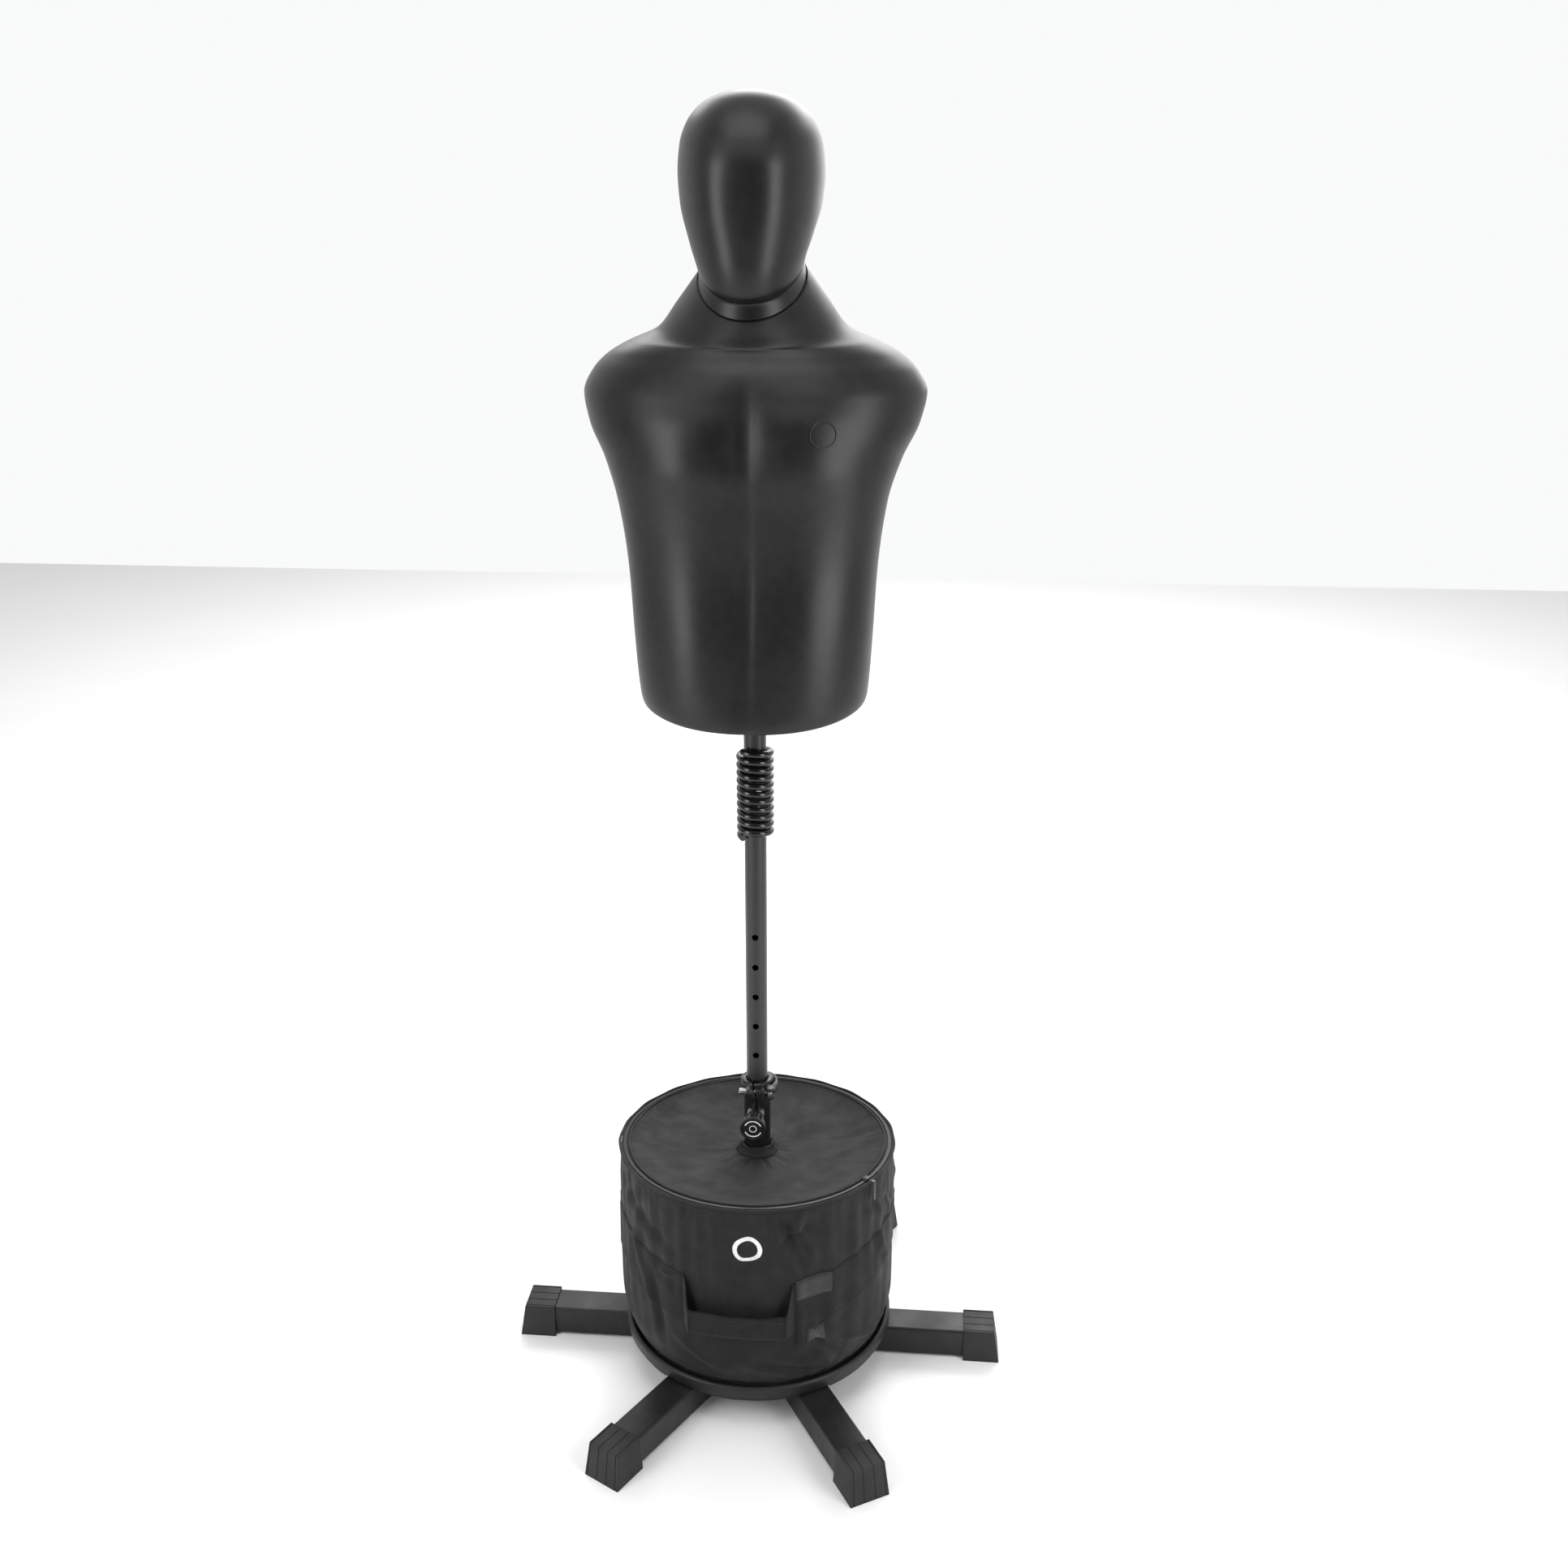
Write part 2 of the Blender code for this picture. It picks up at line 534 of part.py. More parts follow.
def make_tray(mat):
    """Round tray on the legs, with a rolled rim and a skirt notched for each leg."""
    bore = OUTER_RADIUS + GAP
    skirt = TRAY_UNDER - TRAY_SKIRT_DROP
    outer = TRAY_RADIUS - TRAY_LIP_REACH
    inner = outer - TRAY_WALL
    lip = TRAY_TOP - TRAY_LIP_UNDER
    bm = turned_ring((
        (bore, TRAY_UNDER), (inner, TRAY_UNDER), (inner, skirt), (outer, skirt), (outer, lip),
        (TRAY_RADIUS, lip), (TRAY_RADIUS, TRAY_RIM_TOP - 0.005),
        (TRAY_RADIUS - 0.0015, TRAY_RIM_TOP - 0.0012), (TRAY_RADIUS - 0.0040, TRAY_RIM_TOP),
        (TRAY_RADIUS - 0.0070, TRAY_RIM_TOP - 0.0005), (TRAY_RADIUS - 0.0088, TRAY_RIM_TOP - 0.003),
        (TRAY_RADIUS - 0.0115, TRAY_TOP), (bore, TRAY_TOP),
    ), TRAY_SIDES)
    tray = publish("tray", bm, mat)
    half = LEG_WIDTH / 2 + TRAY_NOTCH_ROOM
    start = inner - 0.02

    def notch():
        high = TRAY_UNDER + TRAY_NOTCH_RELIEF
        return block((start, -half, skirt - 0.01), (TRAY_RADIUS + 0.01, half, min(high, lip - GAP)))

    cut(tray, round_the_legs(notch), "tray_notches")
    room = LEG_BOLT_RADIUS + GAP
    sink = TRAY_TOP - 2 * GAP - LEG_BOLT_HEAD_HEIGHT
    wide = LEG_BOLT_HEAD_RADIUS + GAP

    def stepped_hole():
        steps = ((room, TRAY_UNDER - 0.01), (room, sink), (wide, sink), (wide, TRAY_TOP + 0.01))
        return move(turned_solid(steps, 12), Matrix.Translation((bolt_radius_place(), 0, 0)))

    cut(tray, round_the_legs(stepped_hole), "tray_holes")


# ---------------------------------------------------------------- tubes
def make_outer_tube(mat):
    """Tube that stands in the hub, with a pin hole and a slot that lets the clamp close it."""
    tube = publish("outer_tube", pipe(OUTER_RADIUS, OUTER_BORE, LEG_BOTTOM, OUTER_TOP), mat)
    hole = along_front(turned_solid(((HOLE_RADIUS, 0), (HOLE_RADIUS, OUTER_RADIUS + 0.01)), 12))
    cut(tube, move(hole, Matrix.Translation((0, 0, PIN_HEIGHT))), "outer_tube_hole")
    half = COLLAR_SLIT / 2
    slot = block((-half, -OUTER_RADIUS - 0.01, OUTER_TOP - TUBE_SLOT_DEPTH), (half, 0, OUTER_TOP + 0.01))
    cut(tube, slot, "outer_tube_slot")


def make_guide_bush(mat):
    """Plastic sleeve at the outer tube's mouth that the mast slides in."""
    ring = pipe(OUTER_BORE - GAP, MAST_RADIUS + SLIDE_GAP, OUTER_TOP - BUSH_LENGTH, OUTER_TOP)
    publish("guide_bush", ring, mat)


def make_mast(mat):
    """Inner tube with a row of adjustment holes down its front."""
    mast = publish("mast_tube", pipe(MAST_RADIUS, MAST_BORE, 0, MAST_TOP - MAST_BOTTOM), mat,
                   (0, 0, MAST_BOTTOM))
    holes = []
    for k in range(-HOLES_BELOW, HOLES_ABOVE + 1):
        hole = along_front(turned_solid(((HOLE_RADIUS, 0), (HOLE_RADIUS, MAST_RADIUS + 0.01)), 12))
        holes.append(move(hole, Matrix.Translation((0, 0, PIN_HEIGHT + k * HOLE_PITCH))))
    cut(mast, merged(holes), "mast_holes")


def make_mast_foot(mat):
    """Plastic plug in the mast's lower end, which keeps it centred in the outer tube."""
    wide = OUTER_BORE - SLIDE_GAP
    narrow = MAST_BORE - GAP
    bm = turned_ring((
        (wide - 0.001, -FOOT_WALL), (wide, 0.001 - FOOT_WALL), (wide, -GAP), (narrow, -GAP),
        (narrow, FOOT_LENGTH), (narrow - FOOT_WALL, FOOT_LENGTH), (narrow - FOOT_WALL, -FOOT_WALL),
    ))
    publish("mast_foot", bm, mat, (0, 0, MAST_BOTTOM))


# ---------------------------------------------------------------- clamp
def make_clamp_collar(mat):
    """Split collar with two ears at the front, sitting on the outer tube's end."""
    bm = turned_ring((
        (COLLAR_BORE, COLLAR_BOTTOM), (COLLAR_RADIUS - 0.001, COLLAR_BOTTOM),
        (COLLAR_RADIUS, COLLAR_BOTTOM + 0.001), (COLLAR_RADIUS, COLLAR_TOP - 0.002),
        (COLLAR_RADIUS - 0.002, COLLAR_TOP), (COLLAR_LIP_RADIUS, COLLAR_TOP),
        (COLLAR_LIP_RADIUS, OUTER_TOP + GAP), (COLLAR_BORE, OUTER_TOP + GAP),
    ))
    collar = publish("clamp_collar", bm, mat)
    front = -(COLLAR_RADIUS + EAR_LENGTH)
    low, high = CLAMP_MIDDLE - EAR_HEIGHT / 2, CLAMP_MIDDLE + EAR_HEIGHT / 2
    ears = block((-EAR_OUT, front, low), (EAR_OUT, -(COLLAR_BORE + EAR_SINK), high))
    cut(collar, ears, "clamp_ears", "UNION")
    seat = SKEWER_Y + max(WASHER_RADIUS, NUT_RADIUS) + GAP
    for side, far in (("right", 0.04), ("left", -0.04)):
        near = math.copysign(EAR_OUT, far)
        corner = block((min(near, far), front - 0.01, low - 0.01), (max(near, far), seat, high + 0.01))
        cut(collar, corner, f"clamp_{side}_seat")
    half = COLLAR_SLIT / 2
    slit = block((-half, front - 0.01, -COLLAR_HEIGHT), (half, 0, COLLAR_HEIGHT))
    lean = Matrix.Rotation(math.radians(-COLLAR_SLIT_TILT), 4, "Y")
    cut(collar, move(slit, Matrix.Translation((0, 0, CLAMP_MIDDLE)) @ lean), "clamp_slit")
    bore = along_side(turned_solid(((SKEWER_RADIUS + GAP, -0.03), (SKEWER_RADIUS + GAP, 0.03)), 12))
    cut(collar, move(bore, Matrix.Translation((0, SKEWER_Y, CLAMP_MIDDLE))), "clamp_bore")


def make_clamp_skewer(mat):
    """Threaded rod through both ears and the pivot barrel."""
    low = NUT_X - NUT_LENGTH + 0.001
    bm = along_side(turned_solid(((SKEWER_RADIUS, low), (SKEWER_RADIUS, PIVOT_X)), 12))
    publish("clamp_skewer", bm, mat, (0, SKEWER_Y, CLAMP_MIDDLE))


def make_clamp_nut(mat):
    """Round adjusting nut on the skewer's left end."""
    inner = SKEWER_RADIUS + GAP
    bm = turned_ring((
        (inner, -NUT_LENGTH), (NUT_RADIUS - 0.001, -NUT_LENGTH), (NUT_RADIUS, 0.001 - NUT_LENGTH),
        (NUT_RADIUS, 0), (inner, 0),
    ), 12)
    publish("clamp_nut", along_side(bm), mat, (NUT_X, SKEWER_Y, CLAMP_MIDDLE))


def make_clamp_pivot(mat):
    """Upright barrel that the lever turns on; the skewer ends in it."""
    half = PIVOT_HEIGHT / 2
    bm = turned_solid(((PIVOT_RADIUS, -half), (PIVOT_RADIUS, half)), 16)
    pivot = publish("clamp_pivot", bm, mat, (PIVOT_X, SKEWER_Y, CLAMP_MIDDLE))
    bore = along_side(turned_solid(((SKEWER_RADIUS + GAP, -0.02), (SKEWER_RADIUS + GAP, GAP)), 12))
    cut(pivot, move(bore, Matrix.Translation((PIVOT_X, SKEWER_Y, CLAMP_MIDDLE))), "clamp_pivot_bore")


def make_clamp_lever(mat):
    """Curved blade round the collar's right side, with a fork over the pivot barrel."""
    half = LEVER_HEIGHT / 2
    blade = []
    steps = 9
    for i in range(steps + 1):
        share = i / steps
        angle = math.radians(LEVER_START + share * (LEVER_END - LEVER_START))
        inner = LEVER_INNER + 0.003 * share ** 2
        thick = LEVER_THICKNESS * (1 - 0.35 * share)
        tall = half * (1 - 0.30 * share)
        blade.append([
            (r * math.cos(angle), r * math.sin(angle), z)
            for r, z in ((inner, -tall), (inner + thick, -tall), (inner + thick, tall), (inner, tall))
        ])
    bm = bmesh.new()
    skin_rings(bm, blade)
    place = Vector((PIVOT_X, SKEWER_Y, CLAMP_MIDDLE))
    move(bm, Matrix.Translation((-PIVOT_X, -SKEWER_Y, 0)))
    lever = publish("clamp_lever", bm, mat, place)
    start = math.radians(LEVER_START)
    root_radius = LEVER_INNER + LEVER_THICKNESS / 2
    root = Vector((root_radius * math.cos(start), root_radius * math.sin(start), CLAMP_MIDDLE))
    arm = root - place
    thick = LEVER_THICKNESS / 2
    turn = Matrix.Translation(place) @ Matrix.Rotation(math.atan2(arm.y, arm.x), 4, "Z")
    bridge = block((0.001, -thick, -half), (arm.length + 0.001, thick, half))
    cut(lever, move(bridge, turn), "lever_bridge", "UNION")
    tall = PIVOT_HEIGHT / 2 + GAP + LEVER_CHEEK
    eye = turned_solid(((LEVER_EYE, -tall), (LEVER_EYE, tall)), 16)
    cut(lever, move(eye, Matrix.Translation(place)), "lever_eye", "UNION")
    room = PIVOT_RADIUS + SLIDE_GAP
    inside = PIVOT_HEIGHT / 2 + GAP
    hollow = turned_solid(((room, -inside), (room, inside)), 16)
    cut(lever, move(hollow, Matrix.Translation(place)), "lever_hollow")
    wide = LEVER_EYE + 0.001
    slot = SKEWER_RADIUS + 0.0012
    window = block((-wide, -wide, -slot), (wide, slot, slot))
    cut(lever, move(window, Matrix.Translation(place)), "lever_window")


def make_clamp_washer(mat):
    """Spacer between the collar's right ear and the lever's eye."""
    bm = pipe(WASHER_RADIUS, SKEWER_RADIUS + GAP, 0, WASHER_THICKNESS, 16)
    publish("clamp_washer", along_side(bm), mat, (WASHER_X, SKEWER_Y, CLAMP_MIDDLE))


# ---------------------------------------------------------------- locking knob
def make_pin_barrel(mat):
    """Threaded boss on the outer tube that the locking pin screws through."""
    back = OUTER_RADIUS + GAP
    bore = PIN_RADIUS + GAP
    shoulder = OUTER_RADIUS + BARREL_LENGTH
    bm = turned_ring((
        (bore, back - 0.008), (BARREL_RADIUS, back - 0.008), (BARREL_RADIUS, shoulder),
        (BARREL_NOSE_RADIUS, shoulder), (BARREL_NOSE_RADIUS, -BARREL_FRONT), (bore, -BARREL_FRONT),
    ), 20)
    barrel = publish("pin_barrel", along_front(bm), mat, (0, 0, PIN_HEIGHT))
    seat = turned_solid(((OUTER_RADIUS + GAP, -0.05), (OUTER_RADIUS + GAP, 0.05)), TUBE_SIDES)
    cut(barrel, move(seat, Matrix.Translation((0, 0, PIN_HEIGHT))), "pin_barrel_seat")


def make_lock_pin(mat):
    """Pin that screws through the barrel, into the knob's hub."""
    bm = turned_solid((
        (PIN_RADIUS * 0.6, -PIN_NOSE_Y), (PIN_RADIUS, -PIN_NOSE_Y + 0.0015),
        (PIN_RADIUS, -KNOB_FRONT - PIN_DEPTH),
    ), 12)
    publish("lock_pin", along_front(bm), mat, (0, 0, PIN_HEIGHT))


def helix(radius, bottom, top, turns, wire, around, sides, first=0.0):
    """A round wire wound about Z, with flat cut ends."""
    bm = bmesh.new()
    steps = int(round(turns * around))
    rings = []
    rise = (top - bottom) / (2 * math.pi * turns)
    slope = math.atan2(rise, radius)
    for i in range(steps + 1):
        share = i / steps
        angle = first + share * turns * 2 * math.pi
        centre = Vector((radius * math.cos(angle), radius * math.sin(angle), bottom + share * (top - bottom)))
        out = Vector((math.cos(angle), math.sin(angle), 0))
        tangent = Vector((-math.sin(angle) * math.cos(slope), math.cos(angle) * math.cos(slope), math.sin(slope)))
        up = out.cross(tangent)
        rings.append([
            centre + wire / 2 * (math.cos(t) * out + math.sin(t) * up)
            for t in (2 * math.pi * k / sides for k in range(sides))
        ])
    skin_rings(bm, rings)
    return bm


def make_pull_knob(mat):
    """Fluted hand knob, flaring to the front, hollow behind so that it covers the barrel."""
    around = KNOB_RIBS * 4
    rings = []
    for share, depth in ((0.0, 0.03), (0.12, 0.10), (0.55, 0.12), (0.9, 0.06), (1.0, 0.0)):
        radius = KNOB_SMALL_RADIUS + (KNOB_LARGE_RADIUS - KNOB_SMALL_RADIUS) * share ** 0.8
        out = -KNOB_BACK + share * KNOB_LENGTH
        ring = []
        for i in range(around):
            angle = 2 * math.pi * i / around
            wave = radius * (1 - depth * (0.5 - 0.5 * math.cos(KNOB_RIBS * angle)))
            ring.append((wave * math.cos(angle), wave * math.sin(angle), out))
        rings.append(ring)
    bm = bmesh.new()
    skin_rings(bm, rings)
    knob = publish("pull_knob", along_front(bm), mat, (0, 0, PIN_HEIGHT))
    room = PIN_RADIUS + GAP
    wide = BARREL_NOSE_RADIUS + GAP
    pocket = -KNOB_BACK + KNOB_POCKET
    bore = along_front(turned_solid((
        (wide, -KNOB_BACK - 0.01), (wide, pocket), (room, pocket), (room, -KNOB_FRONT - PIN_DEPTH + GAP),
    ), 20))
    cut(knob, move(bore, Matrix.Translation((0, 0, PIN_HEIGHT))), "pull_knob_bore")


def make_knob_disc(mat):
    """Round plate that closes the knob's front."""
    back = -KNOB_FRONT + GAP
    bm = turned_solid((
        (KNOB_LARGE_RADIUS, back), (KNOB_LARGE_RADIUS, back + KNOB_DISC_LENGTH - 0.001),
        (KNOB_LARGE_RADIUS - 0.001, back + KNOB_DISC_LENGTH),
    ), 24)
    publish("knob_disc", along_front(bm), mat, (0, 0, PIN_HEIGHT))


# ---------------------------------------------------------------- spring and post
def make_coil_spring(mat):
    """Heavy coil spring that joins the mast to the post and lets the torso rock."""
    half = SPRING_WIRE / 2
    middle = SPRING_LENGTH / 2
    bm = helix(SPRING_COIL_RADIUS, half - middle, middle - half, SPRING_TURNS, SPRING_WIRE,
               SPRING_STEPS, SPRING_SIDES, math.radians(SPRING_FIRST_ANGLE))
    publish("coil_spring", bm, mat, (0, 0, SPRING_BOTTOM + middle))


def make_upper_post(mat):
    """Tube from the spring up into the torso."""
    bm = pipe(MAST_RADIUS, MAST_BORE, 0, POST_LENGTH)
    publish("upper_post", bm, mat, (0, 0, POST_BOTTOM))


# ---------------------------------------------------------------- torso and head
def outline(level, sides, inset=0.0):
    """Points round one level: a rounded shape, deeper or shallower at front and back."""
    height, half, front, back, square, rise, middle = level
    points = []
    for i in range(sides):
        angle = 2 * math.pi * i / sides
        c, s = math.cos(angle), math.sin(angle)
        x = math.copysign(abs(c) ** (2 / square), c) * (half - inset)
        reach = (back - middle if s > 0 else front + middle) - inset
        y = middle + math.copysign(abs(s) ** (2 / square), s) * reach
        points.append(Vector((x, y, height + rise * y)))
    return points


def shifted(level, up):
    """The same level, moved up."""
    return (level[0] + up, *level[1:])


def inside_levels():
    """The levels that shape the inside of the torso's skin: fewer where it is nearly straight."""
    return TORSO_LEVELS[2:10:2] + TORSO_LEVELS[10:13]


def make_torso(skin_mat, foam_mat):
    """Open-necked skin round a foam body that is bored for the socket."""
    hole = SOCKET_RADIUS + 0.004
    under = TORSO_LEVELS[0]
    rings = [circle(hole, under[0], TORSO_SIDES)]
    rings += [outline(level, TORSO_SIDES) for level in TORSO_LEVELS]
    neck = TORSO_LEVELS[-1]
    turned_in = (neck[0], neck[1] - NECK_FLANGE, neck[2] - NECK_FLANGE, neck[3] - NECK_FLANGE, *neck[4:])
    rings.append(outline(turned_in, TORSO_SIDES))
    inner_neck = shifted(turned_in, -SKIN_WALL)
    rings.append(outline(inner_neck, TORSO_SIDES))
    for level in reversed(inside_levels()):
        rings.append(outline(level, TORSO_SIDES, SKIN_WALL))
    rings.append(outline(shifted(TORSO_LEVELS[1], SKIN_WALL), TORSO_SIDES, SKIN_WALL + 0.002))
    rings.append(circle(hole, under[0] + SKIN_WALL, TORSO_SIDES))
    bm = bmesh.new()
    skin_rings(bm, rings, closed_loop=True)
    publish("torso_skin", bm, skin_mat)

    inset = SKIN_WALL + FOAM_GAP
    bm = bmesh.new()
    rings = [outline(shifted(TORSO_LEVELS[1], inset), TORSO_SIDES, inset + 0.002)]
    rings += [outline(level, TORSO_SIDES, inset) for level in inside_levels()]
    rings.append(outline(shifted(turned_in, -inset), TORSO_SIDES, FOAM_GAP))
    skin_rings(bm, rings)
    core = publish("torso_core", bm, foam_mat)
    base = PLATE_TOP + GAP
    room = SOCKET_RADIUS + GAP
    top = SOCKET_BOTTOM + SOCKET_LENGTH + GAP
    pocket = PLATE_RADIUS + GAP
    bore = turned_solid(((pocket, base - 0.08), (pocket, base), (room, base), (room, top)), TUBE_SIDES)
    cut(core, bore, "torso_core_bore")
    screws = []
    for x, y in screw_places():
        screw = turned_solid(((SCREW_RADIUS + GAP, base - 0.01), (SCREW_RADIUS + GAP, base + SCREW_TAIL + GAP)), 8)
        screws.append(move(screw, Matrix.Translation((x, y, 0))))
    cut(core, merged(screws), "torso_core_screws")


def make_head(skin_mat, foam_mat):
    """Featureless head and neck, as a skin over foam, set on the torso's neck."""
    levels = [shifted(level, GAP) for level in HEAD_LEVELS]
    bm = bmesh.new()
    rings = [outline(level, HEAD_SIDES) for level in levels]
    inner = [outline(level, HEAD_SIDES, SKIN_WALL) for level in levels[:-1]]
    inner.append(outline(shifted(levels[-1], -CROWN_DROP), HEAD_SIDES, SKIN_WALL))
    outer_loops = skin_rings(bm, rings, cap_ends=False)
    inner_loops = skin_rings(bm, inner, cap_ends=False)
    count = HEAD_SIDES
    crown = bm.verts.new((0, -0.002, HEAD_TOP))
    dome = bm.verts.new((0, -0.002, HEAD_TOP - 1.7 * SKIN_WALL))
    for i in range(count):
        j = (i + 1) % count
        bm.faces.new((outer_loops[-1][i], outer_loops[-1][j], crown))
        bm.faces.new((inner_loops[-1][j], inner_loops[-1][i], dome))
        bm.faces.new((outer_loops[0][j], outer_loops[0][i], inner_loops[0][i], inner_loops[0][j]))
    publish("head_skin", bm, skin_mat)

    inset = SKIN_WALL + FOAM_GAP
    bm = bmesh.new()
    rings = [outline(level, HEAD_SIDES, inset) for level in levels[:-1]]
    rings.append(outline(shifted(levels[-1], -CROWN_DROP - FOAM_GAP), HEAD_SIDES, inset))
    skin_rings(bm, rings)
    publish("head_core", bm, foam_mat)


def screw_places():
    """Where the plate's screws stand, about the mast's axis."""
    places = []
    for i in range(PLATE_SCREWS):
        angle = 2 * math.pi * (i + 0.5) / PLATE_SCREWS
        places.append((SCREW_CIRCLE * math.cos(angle), SCREW_CIRCLE * math.sin(angle)))
    return places


def make_torso_mount(steel, plate_mat):
    """Steel socket over the post, and the plate and screws that hold it in the torso."""
    tube = pipe(SOCKET_RADIUS, SOCKET_BORE, 0, SOCKET_LENGTH)
    publish("post_socket", tube, steel, (0, 0, SOCKET_BOTTOM))
    ring = pipe(PLATE_RADIUS, SOCKET_RADIUS + GAP, PLATE_BOTTOM, PLATE_TOP)
    plate = publish("torso_plate", ring, plate_mat)
    holes = []
    for x, y in screw_places():
        hole = turned_solid(((SCREW_RADIUS + GAP, PLATE_BOTTOM - 0.01), (SCREW_RADIUS + GAP, PLATE_TOP + 0.01)), 8)
        holes.append(move(hole, Matrix.Translation((x, y, 0))))
    cut(plate, merged(holes), "torso_plate_holes")
    for number, (x, y) in enumerate(screw_places(), 1):
        top = PLATE_THICKNESS + SCREW_TAIL
        screw = turned_solid((
            (SCREW_HEAD_RADIUS, -GAP - SCREW_HEAD_HEIGHT), (SCREW_HEAD_RADIUS, -GAP),
            (SCREW_RADIUS, -GAP), (SCREW_RADIUS, top - 0.003), (SCREW_RADIUS * 0.3, top),
        ), 8)
        publish(f"plate_screw_{number}", screw, steel, (x, y, PLATE_BOTTOM))


# ---------------------------------------------------------------- ballast bag
def tilt_rim(bm, full_from, none_from):
    """Raise the front and lower the back of everything near the bag's rim."""
    for vert in bm.verts:
        share = min(1.0, max(0.0, (vert.co.z - none_from) / (full_from - none_from)))
        vert.co.z -= BAG_TILT * vert.co.y * share * share * (3 - 2 * share)
    return bm


def make_bag_shell(mat):
    """Round fabric bag that stands in the tray, with a hole for the outer tube."""
    hole = OUTER_RADIUS + BAG_TUBE_ROOM
    foot, full, wall = BAG_FOOT_RADIUS, BAG_RADIUS, BAG_WALL
    rise = BAG_TOP - BAG_BOTTOM
    side = (
        (foot, 0.010), (foot + 0.0015, 0.055), (foot + 0.0085, 0.120), (full - 0.0015, 0.22),
        (full, 0.34), (full, 0.84), (full - 0.0015, 0.93),
    )
    outer = [(r, BAG_BOTTOM + share * rise) for r, share in side]
    edge = ZIP_UNDER - GAP
    profile = [(hole, BAG_BOTTOM), (foot - 0.004, BAG_BOTTOM), *outer, (full - 0.0035, edge)]
    profile.append((full - 0.0035 - wall, edge))
    profile += [(r - wall, z) for r, z in reversed(outer[1:])]
    profile += [(foot - wall, BAG_BOTTOM + wall + 0.001), (foot - wall - 0.003, BAG_BOTTOM + wall)]
    profile.append((hole, BAG_BOTTOM + wall))
    bm = turned_ring(profile, BAG_SIDES)
    publish("bag_shell", tilt_rim(bm, edge, BAND_TOP), mat)


def make_bag_lid(mat):
    """Sagging top panel, with a hole for the sleeve."""
    rim = ZIP_INNER_RADIUS - GAP
    slope = [(r, LID_UNDER + lift) for r, lift in BAG_LID_RINGS]
    top = [(LID_HOLE, LID_UNDER), *slope, (rim, BAG_TOP)]
    under = [(r, z - BAG_WALL) for r, z in top]
    bm = turned_ring(top + list(reversed(under)), BAG_SIDES)
    publish("bag_lid", tilt_rim(bm, LID_UNDER - 0.02, LID_UNDER - 0.03), mat)


def make_bag_sleeve(mat):
    """Short fabric sleeve where the outer tube comes out of the bag."""
    low = LID_UNDER - BAG_WALL
    bm = pipe(SLEEVE_RADIUS, OUTER_RADIUS + GAP, low, LID_UNDER + SLEEVE_STAND)
    publish("bag_sleeve", bm, mat)


def make_zip_tape(mat):
    """Zip that joins the lid to the bag all the way round."""
    ring = pipe(ZIP_OUTER_RADIUS, ZIP_INNER_RADIUS, ZIP_UNDER, BAG_TOP, BAG_SIDES)
    publish("zip_tape", tilt_rim(ring, ZIP_UNDER - 0.01, ZIP_UNDER - 0.02), mat)


def zip_direction():
    """Outward direction, from the mast, at the zip's slider."""
    angle = math.radians(ZIP_ANGLE)
    return Vector((math.sin(angle), -math.cos(angle), 0))


def slider_frame():
    """World frame of the slider: X outwards, Y along the zip, origin on the zip's top."""
    out = zip_direction()
    place = out * ZIP_MIDDLE
    place.z = BAG_TOP - BAG_TILT * place.y
    return Matrix.Translation(place) @ Matrix.Rotation(math.atan2(out.y, out.x), 4, "Z")


def make_zip_slider(mat):
    """Slider on top of the zip, with a bridge at its outer side for the pull tab."""
    frame = slider_frame()
    half, long = SLIDER_WIDTH / 2, SLIDER_LENGTH / 2
    lift = SLIDER_LIFT
    bm = bmesh.new()
    rings = []
    for y, wide, tall in ((-long, 0.62, 0.6), (-long * 0.6, 1.0, 1.0), (long * 0.5, 1.0, 1.0), (long, 0.72, 0.55)):
        top = lift + (SLIDER_HEIGHT - lift) * tall
        rings.append([(-half * wide, y, lift), (half * wide, y, lift), (half * wide, y, top), (-half * wide, y, top)])
    skin_rings(bm, rings)
    publish("zip_slider", move(bm, frame.to_3x3().to_4x4()), mat, frame.translation)


def tab_frame():
    """World frame of the tab's pivot: X outwards, Y along the zip, on the slider's outer side."""
    return slider_frame() @ Matrix.Translation((TAB_PIVOT, 0, SLIDER_HEIGHT / 2))


def make_zip_pull(mat):
    """Bent pull tab: out from the slider, then down over the bag's edge."""
    frame = tab_frame()
    half, thick = TAB_WIDTH / 2, TAB_THICKNESS
    reach = BAG_RADIUS + TAB_CLEAR - ZIP_MIDDLE - TAB_PIVOT
    bend = ((0.0, thick / 2), (reach + thick, thick / 2), (reach + thick, -TAB_LENGTH),
            (reach, -TAB_LENGTH), (reach, -thick / 2), (0.0, -thick / 2))
    bm = bmesh.new()
    near = [bm.verts.new((x, -half, z)) for x, z in bend]
    far = [bm.verts.new((x, half, z)) for x, z in bend]
    for i in range(len(bend)):
        j = (i + 1) % len(bend)
        bm.faces.new((near[i], near[j], far[j], far[i]))
    bm.faces.new(near)
    bm.faces.new(far)
    publish("zip_pull", move(bm, frame.to_3x3().to_4x4()), mat, frame.translation, smooth=False)


def arc_strip(rings_of, first, last, steps):
    """A strip that runs round the mast between two angles, in degrees from the front."""
    bm = bmesh.new()
    rings = []
    for i in range(steps + 1):
        angle = math.radians(first + (last - first) * i / steps)
        section = rings_of(i / steps)
        rings.append([(r * math.sin(angle), -r * math.cos(angle), z) for r, z in section])
    skin_rings(bm, rings)
    return bm


